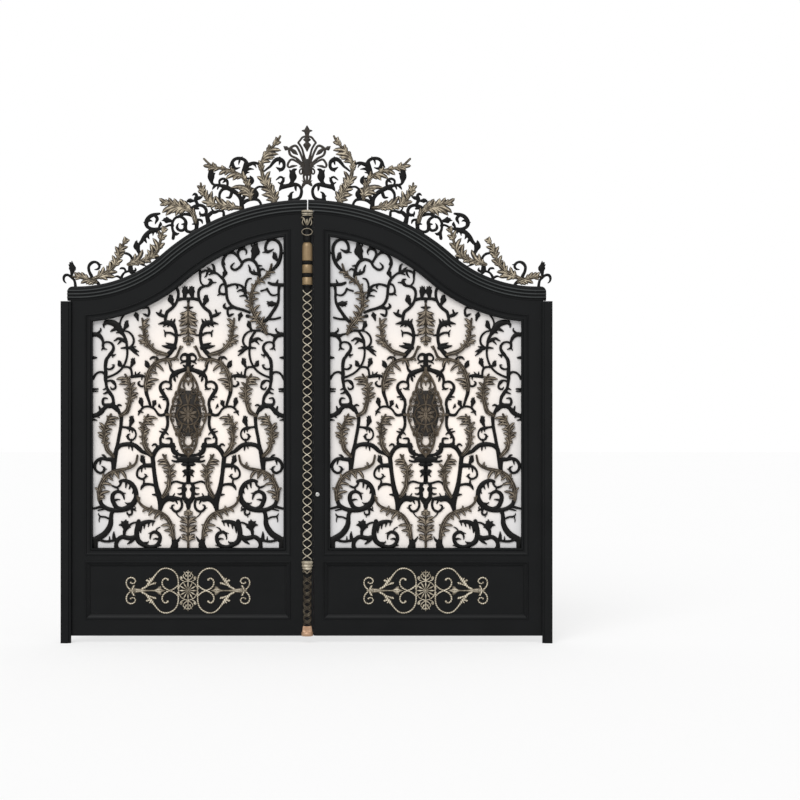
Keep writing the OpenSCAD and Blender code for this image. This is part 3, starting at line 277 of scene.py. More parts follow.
# a smooth curve through a row's points, n steps between each two
def spline(row, n, size=3):
    given = points(row, size)
    track = []
    last = len(given) - 1
    for i in range(last):
        a, b, c, d = given[max(i - 1, 0)], given[i], given[i + 1], given[min(i + 2, last)]
        for k in range(n):
            t = k / n
            track.append([0.5 * (2 * q + (r - p) * t + (2 * p - 5 * q + 4 * r - s) * t * t
                                 + (3 * q - p - 3 * r + s) * t ** 3) for p, q, r, s in zip(a, b, c, d)])
    track.append(list(given[-1]))
    return track


def headings(track):
    out = []
    for i in range(len(track)):
        a, b = track[max(i - 1, 0)], track[min(i + 1, len(track) - 1)]
        du, dz = b[0] - a[0], b[1] - a[1]
        size = math.hypot(du, dz) or 1.0
        out.append((du / size, dz / size))
    return out


# round noses on both ends of a stroke
def nosed(track, steps=(35, 65, 88)):
    way = headings(track)

    def nose(spot, heading, sign, turns):
        (u, z, w), (du, dz) = spot, heading
        out = []
        for t in turns:
            c, s = math.cos(math.radians(t)), math.sin(math.radians(t))
            out.append([u + sign * du * w / 2 * s, z + sign * dz * w / 2 * s, w * c])
        return out

    return nose(track[0], way[0], -1, reversed(steps)) + track + nose(track[-1], way[-1], 1, steps)


def circle(n):
    return [(math.cos(a * math.pi / (n / 2)), math.sin(a * math.pi / (n / 2))) for a in range(n)]


# an oval of half axes a and b about height z, as a stroke
def ovalTrack(a, b, z, wide, turns):
    return [[a * math.cos(math.radians(t)), z + b * math.sin(math.radians(t)), wide] for t in turns]


# Sections across a stroke: (across, up, lift)
flatBar = [(-1, 0, 0), (-1, 0.5, 0.3), (-0.62, 0.9, 0.8), (0, 1, 0.6), (0.62, 0.9, 0.8), (1, 0.5, 0.3), (1, 0, 0)]
frondFinger = [(-1, 0, 0.02), (-0.92, 0.45, 0.16), (-0.5, 0.88, 0.6), (0, 1.0, 1.0), (0.5, 0.88, 0.6),
               (0.92, 0.45, 0.16), (1, 0, 0.02)]
ridgedRib = [(-1, 0, 0.1), (-1, 0.4, 0.35), (-0.6, 0.75, 0.7), (-0.28, 1.0, 1.0), (0, 0.86, 0.35),
             (0.28, 1.0, 1.0), (0.6, 0.75, 0.7), (1, 0.4, 0.35), (1, 0, 0.1)]
flutedRib = [(-1, 0, 0), (-0.92, 0.45, 0.45), (-0.68, 0.78, 1.0), (-0.4, 0.6, 0.05), (-0.2, 0.9, 0.6),
             (0, 1.0, 1.0), (0.2, 0.9, 0.6), (0.4, 0.6, 0.05), (0.68, 0.78, 1.0), (0.92, 0.45, 0.45), (1, 0, 0)]
shallowDome = [(-1, 0, 0.0), (-0.85, 0.6, 0.1), (-0.4, 0.92, 0.2), (0, 1, 0.25), (0.4, 0.92, 0.2),
               (0.85, 0.6, 0.1), (1, 0, 0.0)]
domedRope = [(-1, 0, 0.1), (-0.92, 0.55, 0.45), (-0.55, 1.0, 0.85), (0, 1.16, 1.0), (0.55, 1.0, 0.85),
             (0.92, 0.55, 0.45), (1, 0, 0.1)]
roundStroke = [(-1, 0, 0.2), (-0.72, 0.72, 0.7), (0, 1, 0.6), (0.72, 0.72, 0.7), (1, 0, 0.2), (0.72, -0.72, 0.7),
               (0, -1, 0.6), (-0.72, -0.72, 0.7)]
# strokes narrower than full lose height; a rope's lay swells and shades it
strokeForm = {"full": 11.0, "least": 0.5, "fade": 0.6, "swell": 0.09, "shade": 0.32}


# sweeps a section along a stroke; at() puts (u, y, z) on the gate, lay is the pitch of a twist
def sweep(cast, track, section, at, base, height, lay=None):
    way = headings(track)
    rings, lifts, run = [], [], 0.0
    for i, (u, z, w) in enumerate(track):
        if i:
            run += math.hypot(u - track[i - 1][0], z - track[i - 1][1])
        du, dz = way[i]
        low = min(1.0, max(w, strokeForm["least"]) / strokeForm["full"]) ** strokeForm["fade"]
        ring, lift = [], []
        for k, (s, h, shade) in enumerate(section):
            twist = math.sin(2 * math.pi * (run / lay + k / len(section))) if lay else 0.0
            grow = 1 + strokeForm["swell"] * twist
            ring.append(at(u - dz * s * w / 2 * grow, base - h * height * low * grow, z + du * s * w / 2 * grow))
            lift.append(max(0.0, shade + strokeForm["shade"] * twist))
        rings.append(ring)
        lifts.append(lift)
    cast.loft(rings, lifts)


def leafSide(side, flip=1):
    return lambda u, y, z: (-side * (gate["axisX"] + flip * u), y, z)


def crownSide(side):
    return lambda x, y, z: (side * x, y, z)


# Buds: widths as shares of the bud's own, stalk and tip in mm
budForm = {"root": 0.3, "horn": 0.7, "tip": 3, "stalk": 6, "neck": 0.5, "crest": 0.25}


# a bud's foot, middle, width and two tips become two horns and a belly
def budStrokes(bud):
    stem, body, wide, tipA, tipB = bud[0:2], bud[2:4], bud[4], bud[5:7], bud[7:9]
    root, horn = wide * budForm["root"], wide * budForm["horn"]
    horns = [[*stem, root, *body, horn, *tip, budForm["tip"]] for tip in (tipA, tipB)]
    neck = [(stem[0] + body[0]) / 2, (stem[1] + body[1]) / 2, wide * budForm["neck"]]
    crest = [(tipA[0] + tipB[0]) / 2, (tipA[1] + tipB[1]) / 2, wide * budForm["crest"]]
    return horns + [[*stem, budForm["stalk"], *neck, *body, wide, *crest]]


def hollowPt(d, a):
    return (gate["archX0"] + (archHollow + d) * math.sin(a),
            gate["archLow"] + archHollow - (archHollow + d) * math.cos(a))


def roundPt(d, b):
    return (-(archRound - d) * math.sin(b), archHigh - archRound + (archRound - d) * math.cos(b))


# the ogee at depth d from x0 to x1, both in the left half
def ogeeTrack(d, x0, x1, n=22):
    a0 = math.asin((x0 - gate["archX0"]) / (archHollow + d))
    b1 = math.asin(-x1 / (archRound - d))
    hollow = [hollowPt(d, a0 + (archTurn - a0) * i / n) for i in range(n)]
    return hollow + [roundPt(d, archTurn + (b1 - archTurn) * i / n) for i in range(n + 1)]


# Frame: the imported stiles, rails, posts, sheets and panels stay, with eased edges and paint
frameLook = {"ease": 0.0025, "sharp": 40, "kept": ["post", "post_hinges", "leaf_hinges", "outer_stile",
             "meeting_stile", "arched_rail", "middle_rail", "bottom_rail", "kick_panel"]}


def easeEdges(obj):
    mod = obj.modifiers.new("eased", "BEVEL")
    mod.width, mod.segments, mod.limit_method = frameLook["ease"], 2, "ANGLE"
    mod.angle_limit, mod.harden_normals = math.radians(frameLook["sharp"]), True


for side, hand in leafBodies.items():
    for part in frameLook["kept"]:
        obj = nodes[hand + "_" + part]
        obj.data.materials.clear()
        obj.data.materials.append(framePaint)
        if "hinges" not in part:
            easeEdges(obj)
    sheet = nodes[hand + "_backing_sheet"]
    sheet.data.materials.clear()
    sheet.data.materials.append(opalSheet(hand + "_opal", (gate["midX"] - side * gate["axisX"]) * mm))
print("frame dressed")

# Mouldings round the grille and the kick panel: (inset, y) from the frame's inner edge
panelBead = {
    "crease": 28,
    "panel": [(0, -29), (0.8, -34.5), (4, -36.5), (8, -35.5), (10, -31), (14, -28.5), (24, -27.5), (32, -29),
              (36, -33.5), (40, -35.5), (45, -34.5), (47.5, -31), (48, -26), (48, 20), (0, 20)],
    "kick": [(0, -29), (0.8, -34), (4, -36.5), (8, -36), (11, -32.5), (14, -30), (20, -27.5), (27, -22),
             (33, -18), (34, -14), (34, 14), (30, 20), (0, 20)],
}


def panelLoop(k, y, side):
    x0, x1 = gate["frameX0"] + k, gate["frameX1"] - k
    low = [(x0, gate["panelZ"] + k), (x1, gate["panelZ"] + k)]
    arch = list(reversed(ogeeTrack(gate["frameD"] + k, x0, x1)))
    return [(-side * x, y, z) for x, z in low + arch]


def kickLoop(k, y, side):
    x0, x1 = gate["frameX0"] + k, gate["frameX1"] - k
    z0, z1 = gate["kickZ0"] + k, gate["kickZ1"] - k
    return [(-side * x, y, z) for x, z in ((x0, z0), (x1, z0), (x1, z1), (x0, z1))]


for side, hand in leafBodies.items():
    for kind, loopOf in (("panel", panelLoop), ("kick", kickLoop)):
        cast = Casting()
        rings = [loopOf(k, y, side) for k, y in panelBead[kind]]
        rings.append(rings[0])
        cast.loft(rings, ends=False)
        cast.piece(hand + "_" + kind + "_bead", framePaint, hand + "_leaf",
                   [hand + "_" + kind + "_moulding"], panelBead["crease"])

# Cap over the arch: reeded front and back, its outer end rounded over
capRail = {
    "deep": 92.0, "half": 38.0, "reed": 8.0, "reeds": (20.0, 42.0, 64.0), "reedWide": 15.0, "crease": 32,
    "reedTurns": (0, 12, 35, 60, 90, 120, 145, 168, 180),
    # a painted highlight on each reed's crest, by turn
    "reedHighlight": [0.0, 0.0, 0.0, 0.35, 1.0, 0.35, 0.0, 0.0, 0.0],
    "endX": -1561.0, "endRound": 35.0, "endSteps": (0.0, 1.2, 4.5, 10.0, 17.0, 25.0, 35.0), "steps": 40,
    "leftStop": -1.0, "rightStop": 49.0, "tipStop": 9.0, "tipDeep": 64.0,
}


# (depth below the top, y) down the front and up the back, and how much painted highlight each point takes
def capProfile():
    face, deep = -capRail["half"], capRail["deep"]
    top = [(0, face + 5), (1.5, face + 1.5), (5, face)]
    foot = [(deep - 10, face), (deep - 9, face + 4), (deep - 1, face + 4), (deep, face + 6)]
    reeds = []
    for d in capRail["reeds"]:
        for t in capRail["reedTurns"]:
            c, s = math.cos(math.radians(t)), math.sin(math.radians(t))
            reeds.append((d + capRail["reedWide"] / 2 * (1 - c), face - capRail["reed"] * s))
    front = top + reeds + foot
    crestHighlight = [0.0] * len(top) + capRail["reedHighlight"] * len(capRail["reeds"]) + [0.0] * len(foot)
    return front + [(d, -y) for d, y in reversed(front)], crestHighlight + crestHighlight[::-1]


def capRing(kind, at, profile):
    ring = []
    for d, y in profile:
        if kind == "flat":
            cut = capRail["endRound"]
            run = min(at - capRail["endX"], cut)
            drop = cut - math.sqrt(max(0.0, cut * cut - (cut - run) ** 2))
            ring.append((at, y, gate["archLow"] - max(d, drop)))
        else:
            x, z = hollowPt(d, at) if kind == "hollow" else roundPt(d, at)
            ring.append((x, y, z))
    return ring


for side, hand in leafBodies.items():
    cast = Casting()
    profile, crestHighlight = capProfile()
    n = capRail["steps"]
    bend = math.asin((-capRail["leftStop"] if side < 0 else capRail["rightStop"]) / archRound)
    stations = [("flat", capRail["endX"] + x) for x in capRail["endSteps"]]
    stations += [("hollow", archTurn * i / n) for i in range(n)]
    stations += [("round", archTurn + (bend - archTurn) * i / n) for i in range(n + 1)]
    runs = [(stations, profile)]
    if side > 0:  # above the column the right cap goes on to the middle, shallower
        near = math.asin(capRail["tipStop"] / archRound)
        runs.append(([("round", bend), ("round", (bend + near) / 2), ("round", near)],
                     [(min(d, capRail["tipDeep"]), y) for d, y in profile]))
    for stops, shape in runs:
        rings = [[(-side * x, y, z) for x, y, z in capRing(kind, at, shape)] for kind, at in stops]
        cast.loft(rings, [crestHighlight] * len(rings))
    stands = [hand + "_cap"] + ([hand + "_cap_end"] if side > 0 else [])
    cast.piece(hand + "_reeded_cap", capPaint, hand + "_leaf", stands, capRail["crease"])

# Buffer strips down both meeting edges: (face, root) in x
edgeBuffer = {"left": (42.8, 41.5), "right": (45.2, 49.2), "ease": 0.6, "chamfer": 2, "y": 27.0,
              "z0": 47.0, "z1": 2815.0}
for hand in leafBodies.values():
    cast = Casting()
    (face, root), y, cut = edgeBuffer[hand], edgeBuffer["y"], edgeBuffer["chamfer"]
    back = face + math.copysign(edgeBuffer["ease"], root - face)
    cast.loft([[(root, -y, z), (root, y, z), (back, y, z), (face, y - cut, z), (face, cut - y, z), (back, -y, z)]
               for z in (edgeBuffer["z0"], edgeBuffer["z1"])])
    cast.piece(hand + "_edge_buffer", scrollPaint, hand + "_leaf")

# Grille scrolls: strokes on either side of the panel's axis, some only on the hinge or the meeting side
grilleScroll = {
    "base": 0.0, "height": 12.5, "bold": 1.14, "added": 1,
    "both": [
        [95,612,45, 88,640,38, 95,670,25, 97,692,16], [85,650,20, 65,668,14, 52,690,4],
        [325,790,24, 335,740,28, 338,700,28, 325,660,28, 295,638,25, 255,622,22, 215,628,22, 190,655,20, 185,690,20,
        200,712,20, 225,720,18, 243,708,14, 250,685,8, 249,673,5], [235,718,12, 262,710,3],
        [188,665,14, 208,676,12, 230,673,4], [300,645,18, 268,650,10, 262,660,3], [205,628,12, 178,634,4],
        [222,790,10, 250,790,18, 285,783,24, 315,765,28, 332,735,28], [228,790,12, 235,762,5],
        [255,785,14, 263,755,5], [285,775,14, 290,742,5], [310,755,16, 313,716,6],
        [185,752,5, 203,742,8, 211,727,8, 205,715,8],
        [48,930,14, 42,905,14, 45,880,14, 60,860,14, 80,853,14, 98,862,14, 108,880,12, 104,893,10, 92,897,4],
        [105,872,10, 123,878,3], [85,930,14, 72,906,6], [82,850,8, 72,832,7, 52,814,5],
        [178,880,20, 170,905,24, 150,930,30, 125,938,30, 100,930,24],
        [50,935,18, 80,940,22, 120,943,26, 160,945,28, 190,950,30],
        [185,865,22, 183,900,28, 185,935,34, 200,980,30, 212,1030,26, 222,1100,22, 230,1170,24, 235,1220,24],
        [625,655,40, 590,680,34, 550,705,34, 522,740,32, 508,775,28, 506,810,24, 502,840,22, 490,862,22],
        [522,808,10, 545,818,10, 570,820,10, 583,828,8, 588,840,4], [578,820,8, 584,800,6, 583,785,4],
        [470,672,16, 500,662,14, 530,658,14, 560,662,14, 590,675,20], [485,668,22, 488,700,16, 487,722,4],
        [515,664,12, 516,690,4], [610,612,30, 612,650,34, 620,665,40],
        [447,1050,16, 425,1057,18, 395,1050,22, 365,1028,26, 345,990,26, 342,950,26, 355,915,30, 385,885,32,
        425,868,30, 470,862,26, 510,866,24, 548,882,24, 570,905,22, 580,935,22],
        [430,868,24, 465,878,24, 486,905,24, 497,940,24, 490,970,22, 462,985,18, 435,975,16, 424,955,12, 419,934,6],
        [432,974,12, 410,973,3], [490,925,16, 465,932,10, 447,932,3], [375,905,18, 400,905,10, 414,913,3],
        [475,885,14, 494,890,3], [350,1005,20, 365,973,6], [375,1030,18, 388,1000,5], [405,1045,16, 410,1010,6],
        [440,1050,14, 445,1030,12, 460,1015,12, 475,1012,12, 497,1022,10], [465,1012,10, 460,995,10, 468,980,12],
        [370,875,16, 352,864,10, 342,858,4], [352,866,10, 346,880,5, 352,887,3],
        [375,878,12, 368,845,12, 380,832,12, 398,838,10, 401,850,6], [390,832,8, 388,815,3],
        [560,890,20, 590,880,14, 624,872,12], [545,872,12, 590,860,6],
        [325,778,10, 350,782,10, 375,772,12, 395,755,16], [418,725,20, 420,690,12],
        [335,695,24, 370,680,26, 400,682,26, 430,688,24, 455,675,24, 470,650,22, 472,625,24, 465,608,30],
        [350,688,24, 372,660,18, 398,642,6], [0,1195,40, 40,1190,24, 80,1180,14, 105,1187,10],
        [70,1222,10, 85,1210,12, 102,1217,5], [0,1045,24, 0,1118,24, 0,1200,24], [0,1118,14, 22,1118,22, 36,1118,8],
        [0,1162,14, 28,1162,22, 43,1162,8],
        [0,1048,10, 20,1035,14, 28,1015,14, 15,1000,12, 28,980,14, 30,960,14, 15,940,12, 0,930,12],
        [28,1010,12, 68,1006,6], [28,985,12, 50,968,12, 70,970,5],
        [20,1035,14, 50,1042,12, 80,1050,12, 105,1042,12, 120,1020,10], [28,952,14, 45,938,14, 60,938,14],
        [105,945,14, 90,972,4], [135,950,14, 128,972,4], [200,962,22, 235,965,6],
        [212,1022,16, 250,1032,14, 285,1030,18, 303,1015,16, 311,996,5],
        [232,1155,26, 262,1155,24, 290,1153,20, 318,1140,14, 334,1115,12, 335,1088,12, 320,1072,12, 298,1067,12,
        281,1078,12, 277,1092,10, 288,1099,4], [282,1080,10, 264,1084,3], [305,1145,14, 306,1113,5],
        [285,1148,10, 282,1130,4], [295,1066,10, 290,1050,10, 293,1030,14],
        [492,1112,22, 488,1150,26, 487,1190,34, 478,1225,26, 470,1260,22, 462,1300,18, 455,1340,18, 447,1380,18,
        441,1420,18, 438,1460,20, 440,1480,20, 452,1500,18, 465,1525,22, 490,1545,26],
        [490,1193,26, 535,1196,20, 570,1200,18, 598,1185,18, 613,1155,18, 606,1125,14, 585,1108,14, 565,1108,14,
        551,1122,14, 551,1140,12, 567,1150,4], [552,1128,12, 533,1132,3], [572,1195,14, 579,1163,6],
        [535,1198,12, 552,1220,12, 566,1224,5], [610,1158,12, 626,1158,12],
        [135,1565,14, 138,1530,16, 145,1505,22, 140,1480,20, 136,1450,16, 136,1420,16, 143,1395,16, 155,1375,18,
        172,1350,16, 183,1330,14, 182,1310,14, 178,1295,20, 150,1285,20],
        [100,1290,20, 130,1285,22, 160,1285,22, 190,1275,24, 210,1255,24, 225,1230,24, 235,1205,24],
        [100,1292,22, 100,1260,26, 85,1238,26, 50,1224,14, 0,1220,18], [97,1265,14, 85,1280,6],
        [88,1245,14, 70,1254,5], [118,1282,20, 111,1305,14, 113,1328,14, 130,1332,12, 148,1330,5],
        [160,1370,14, 142,1367,10, 132,1356,5], [150,1388,12, 175,1395,5], [165,1370,14, 190,1379,5],
        [172,1345,16, 162,1335,8], [200,1270,12, 212,1291,12, 225,1293,12, 237,1284,6],
        [140,1495,20, 170,1484,16, 192,1486,16, 206,1502,12, 220,1522,12, 242,1536,12, 268,1541,12, 292,1536,12,
        310,1520,12, 320,1502,12, 328,1484,5], [322,1508,14, 297,1502,5],
        [465,1518,24, 490,1540,26, 520,1542,18, 548,1530,22, 570,1505,28, 595,1487,24, 624,1478,24],
        [605,1482,14, 583,1469,6], [624,1455,14, 598,1451,5], [572,1505,20, 583,1540,8],
        [235,1210,20, 262,1230,18, 300,1245,20, 320,1262,24, 350,1286,24, 385,1293,26, 420,1292,24, 450,1282,24,
        472,1258,22], [370,1288,14, 366,1254,6], [388,1288,10, 390,1264,4], [378,1292,10, 372,1325,10],
        [444,1408,14, 410,1404,12, 385,1398,20, 362,1394,14, 347,1378,10, 343,1355,10, 350,1335,10, 368,1321,10,
        388,1326,12, 397,1343,14, 393,1356,10, 382,1361,5], [396,1340,12, 409,1346,3], [368,1394,12, 367,1370,5],
        [384,1396,12, 386,1376,4],
        [133,1550,15, 137,1580,17, 152,1607,18, 170,1632,22, 183,1655,18, 183,1677,16, 170,1695,14, 150,1703,14,
        130,1700,12, 115,1692,10],
        [0,1790,50, 25,1782,24, 60,1770,26, 85,1758,30, 105,1745,22, 116,1725,16, 118,1700,16, 113,1680,12,
        118,1662,14, 132,1655,12, 148,1661,4], [122,1656,12, 107,1651,4], [150,1604,16, 187,1603,6],
        [138,1588,16, 166,1586,6], [178,1640,16, 160,1655,6], [0,1868,26, 0,1800,30],
        [10,1795,16, 30,1808,10, 35,1812,4], [8,1838,10, 35,1832,12, 52,1821,5], [92,1740,8, 90,1718,14, 84,1705,5],
        [85,1755,20, 72,1735,8], [88,1758,16, 108,1775,16, 118,1790,12, 124,1815,10, 132,1845,12],
        [246,1536,12, 262,1590,16, 274,1625,20, 277,1658,22],
        [275,1715,10, 288,1738,12, 310,1742,18, 340,1740,20, 372,1735,16], [335,1745,14, 316,1766,4],
        [345,1745,12, 347,1767,5], [303,1738,12, 305,1716,5],
        [272,1690,10, 295,1674,12, 312,1674,12, 325,1686,14, 326,1698,10, 316,1706,4],
        [542,1728,14, 505,1740,12, 470,1758,12, 440,1783,12, 420,1812,12, 408,1840,12, 401,1870,12, 399,1900,12,
        402,1925,14], [430,1798,12, 400,1799,12, 382,1792,14, 372,1772,12, 369,1735,12],
        [530,1860,16, 538,1840,20, 543,1800,18, 540,1760,20, 542,1725,20, 538,1690,16, 532,1660,16, 515,1632,20,
        497,1605,18, 490,1575,16, 495,1555,24, 515,1543,26],
        [542,1795,10, 525,1785,10, 506,1786,12, 492,1797,12, 486,1812,8, 500,1813,3],
        [540,1692,10, 528,1706,10, 508,1710,12, 490,1700,20, 477,1680,12, 477,1663,12, 490,1654,12, 503,1656,10,
        509,1668,4], [543,1745,14, 557,1762,14, 575,1766,12, 595,1760,12, 610,1745,12, 624,1722,16],
        [535,1660,14, 558,1650,4], [520,1638,16, 545,1627,10, 557,1624,4],
        [500,1548,26, 530,1546,26, 555,1555,16, 560,1578,14, 550,1595,12, 528,1593,5],
        [437,1546,5, 450,1551,12, 464,1545,12, 475,1532,14], [624,1655,12, 592,1655,8], [624,1640,12, 593,1640,6],
        [624,1860,20, 600,1860,8],
        [530,1855,16, 513,1882,18, 498,1900,18, 490,1920,16, 492,1938,14, 505,1955,13, 525,1962,11, 545,1960,11,
        556,1950,12],
        [624,2010,24, 600,2012,26, 580,2002,24, 565,1983,18, 557,1960,14, 559,1938,14, 552,1920,12, 533,1915,4],
        [558,1925,12, 568,1908,4], [600,2015,14, 580,2030,12, 572,2042,10, 575,2052,5],
        [510,1882,14, 490,1875,12, 476,1882,4], [495,1872,10, 495,1860,4], [402,1926,16, 440,1922,7],
        [415,2035,10, 395,2030,10, 375,2015,12, 362,1995,12, 357,1970,12, 363,1948,12, 380,1930,12, 402,1922,14],
        [390,1925,14, 365,1915,20, 345,1908,14, 325,1900,5], [362,1908,18, 345,1890,14, 325,1873,5],
        [370,1928,12, 345,1932,6], [408,1965,20, 440,1980,20, 460,1985,14, 475,1975,10, 487,1970,5],
        [435,1975,16, 462,1948,5], [250,1850,8, 235,1862,14, 210,1858,16, 190,1840,10],
        [140,1862,16, 128,1885,26, 108,1905,22, 92,1932,20, 83,1960,18, 79,1990,18, 80,2020,18, 88,2052,20,
        105,2078,30, 135,2090,26, 165,2087,18, 195,2080,5], [140,2085,20, 165,2063,5], [120,2080,20, 137,2062,5],
        [118,2090,14, 110,2113,4], [100,2085,20, 88,2112,6],
        [85,2003,14, 108,2018,14, 130,2023,12, 150,2020,12, 152,1998,6], [148,2020,12, 160,2040,5],
        [90,1925,26, 125,1930,24, 150,1933,16, 172,1938,5], [95,1938,22, 130,1950,12, 147,1957,4],
        [82,2008,16, 50,2006,8], [0,1875,16, 25,1882,18, 45,1870,12, 50,1850,10, 35,1838,10, 10,1840,12],
        [150,2090,18, 150,2115,16, 145,2140,18, 138,2160,18, 112,2180,18, 88,2205,16, 73,2235,15, 66,2268,15,
        68,2298,16, 82,2317,16, 105,2327,14, 130,2332,16, 147,2350,22, 145,2368,16, 130,2373,6],
        [148,2128,16, 185,2140,20, 210,2155,6], [188,2142,14, 178,2170,10], [150,2350,14, 182,2352,4],
        [300,2185,14, 270,2188,14, 258,2175,12, 257,2150,14, 265,2132,12, 280,2140,14, 297,2147,4],
        [0,2245,16, 35,2245,16, 64,2240,20], [1,2243,12, 1,2226,15, 1,2210,5],
        [0,1190,54, 34,1195,40, 62,1198,22, 80,1206,8], [8,1100,12, 22,1106,14, 33,1113,5],
        [10,1098,12, 26,1091,9, 34,1081,4],
        [12,1042,10, 29,1030,17, 33,998,19, 30,971,21, 27,940,20, 15,920,22, 2,906,26, 1,886,24, 0,864,8],
        [0,2185,20, 30,2190,5], [105,2328,8, 85,2345,10, 77,2370,10, 77,2400,14, 73,2440,12],
    ],
    "hinge": [
        [402,1925,14, 405,1960,14, 412,1985,16, 425,2010,18, 445,2035,30, 460,2060,40, 480,2080,36, 510,2090,30,
        540,2092,24], [540,2086,18, 553,2075,14, 552,2058,6], [460,2052,18, 490,2042,16, 508,2032,6],
        [440,2030,16, 470,2022,6], [420,2140,10, 440,2110,10, 447,2080,10, 440,2055,10, 425,2035,12],
    ],
    "meet": [
        [402,1925,14, 405,1975,14, 420,2005,14, 440,2035,14],
        [405,2045,10, 430,2037,12, 455,2037,14, 478,2035,14, 505,2020,12, 540,2012,12, 565,2003,20, 600,2008,24],
        [385,2132,20, 415,2125,14], [515,2112,16, 560,2112,12, 600,2122,12],
        [480,2080,16, 520,2115,20, 545,2150,18, 565,2180,18, 582,2210,16, 590,2245,14, 590,2285,14, 592,2315,16,
        600,2335,18, 624,2335,20], [515,2310,14, 528,2285,12, 545,2270,12, 565,2268,10, 592,2278,8],
        [475,2296,10, 518,2308,10], [525,2350,14, 550,2340,18, 580,2338,18, 605,2335,20], [575,2342,16, 585,2368,6],
        [75,2412,14, 108,2428,12, 135,2428,14, 165,2418,18, 190,2408,12, 210,2390,14, 228,2372,16, 240,2345,18,
        247,2310,16, 250,2270,16, 258,2235,16, 278,2205,16, 305,2187,18, 335,2178,16, 365,2170,16, 400,2155,14],
        [170,2420,16, 165,2460,14, 150,2472,4], [155,2422,14, 135,2442,10, 122,2448,4],
        [128,2428,12, 118,2398,10, 106,2385,4], [165,2415,14, 135,2402,6],
        [240,2345,12, 215,2335,12, 203,2310,10, 204,2285,14, 222,2275,14, 250,2277,12], [210,2280,14, 190,2267,4],
        [290,2188,16, 255,2180,14, 232,2195,16, 240,2212,8],
        [248,2325,16, 275,2335,14, 305,2340,12, 335,2335,12, 355,2322,16, 370,2300,20, 372,2275,16, 385,2250,12],
        [310,2338,10, 322,2322,10, 315,2312,5], [365,2295,16, 340,2302,12, 320,2292,5], [372,2268,14, 335,2262,5],
        [372,2300,10, 376,2345,12, 390,2372,12, 410,2378,8],
        [350,2480,14, 325,2520,14, 300,2540,12, 275,2545,12, 250,2535,14, 230,2505,16, 224,2475,16, 232,2450,14,
        240,2430,14], [230,2480,16, 240,2468,5], [318,2528,12, 290,2555,12, 275,2575,14],
        [350,2480,14, 370,2495,16, 395,2502,16, 420,2497,18, 440,2480,18, 452,2455,16, 460,2430,18, 465,2395,20],
        [393,2465,6, 402,2445,12, 405,2425,14, 425,2412,18, 460,2408,20], [432,2415,14, 428,2436,5],
        [352,2478,16, 338,2500,14, 325,2525,16, 325,2550,14, 340,2567,14, 362,2572,14, 378,2560,12, 380,2545,8,
        375,2535,4], [366,2570,12, 362,2605,10],
        [352,2478,14, 340,2455,14, 310,2435,14, 288,2440,14, 280,2458,12, 300,2480,5], [455,2462,14, 480,2460,6],
        [462,2430,12, 485,2440,12, 500,2432,6], [415,2590,10, 408,2625,10],
        [545,2428,12, 565,2447,18, 587,2475,20, 600,2510,20, 606,2550,18, 604,2585,18, 592,2612,18, 570,2628,16,
        545,2633,16, 522,2622,16, 508,2598,16, 504,2570,16, 515,2553,20, 535,2557,14, 557,2570,4],
        [512,2552,14, 485,2548,4], [540,2632,14, 540,2665,14], [606,2545,14, 626,2545,12],
    ],
    "budsBoth": [
        [395,755,412,768,52,408,802,455,765], [418,725,405,760,46,440,790,378,750],
        [278,1152,300,1192,30,285,1214,310,1224], [384,1408,370,1448,32,362,1480,386,1473],
        [180,1530,190,1543,16,182,1545,192,1558], [235,1534,222,1563,26,212,1582,237,1576],
        [300,1536,310,1573,30,298,1592,318,1600], [246,1782,270,1815,30,262,1832,283,1842],
        [377,1797,362,1830,30,352,1858,376,1852], [428,1800,448,1816,28,440,1834,460,1842],
        [330,2105,340,2140,32,330,2122,346,2158], [98,2200,115,2240,36,103,2264,125,2270],
        [28,2245,20,2295,40,8,2325,38,2322],
    ],
    "budsHinge": [
        [425,2040,405,2072,30,415,2096,395,2104],
    ],
    "budsMeet": [
        [415,2040,396,2075,28,390,2102,408,2092], [580,2212,545,2212,34,513,2228,522,2196],
        [225,2380,240,2415,30,246,2432,232,2432], [418,2500,438,2555,54,450,2613,418,2590],
        [590,2485,565,2520,30,555,2552,578,2540],
    ],
}
for side, hand in leafBodies.items():
    cast = Casting()
    for flip, extra in ((1, "Meet"), (-1, "Hinge")):
        rows = grilleScroll["both"] + grilleScroll[extra.lower()]
        for bud in grilleScroll["budsBoth"] + grilleScroll["buds" + extra]:
            rows = rows + budStrokes(bud)
        for row in rows:
            track = [[u, z, w * grilleScroll["bold"] + grilleScroll["added"]] for u, z, w in spline(row, 3)]
            sweep(cast, nosed(track), flatBar, leafSide(side, flip), grilleScroll["base"], grilleScroll["height"])
    cast.piece(hand + "_scrollwork", scrollPaint, hand + "_leaf", [hand + "_grille_scrolls"])

# Acanthus: a fluted rib with lobes of three fingers that leave it along its run and curl to their tips
leafCut = {"steps": 5, "every": 3, "fillFade": 0.35, "bow": 0.55, "slim": 0.5, "flat": 0.75,
           "ribFade": 0.62, "ribFoot": 0.6, "ribOpen": 3, "ribLeast": 1.5, "lobeSteps": 8}


def gap(a, b):
    return math.hypot(a[0] - b[0], a[1] - b[1])


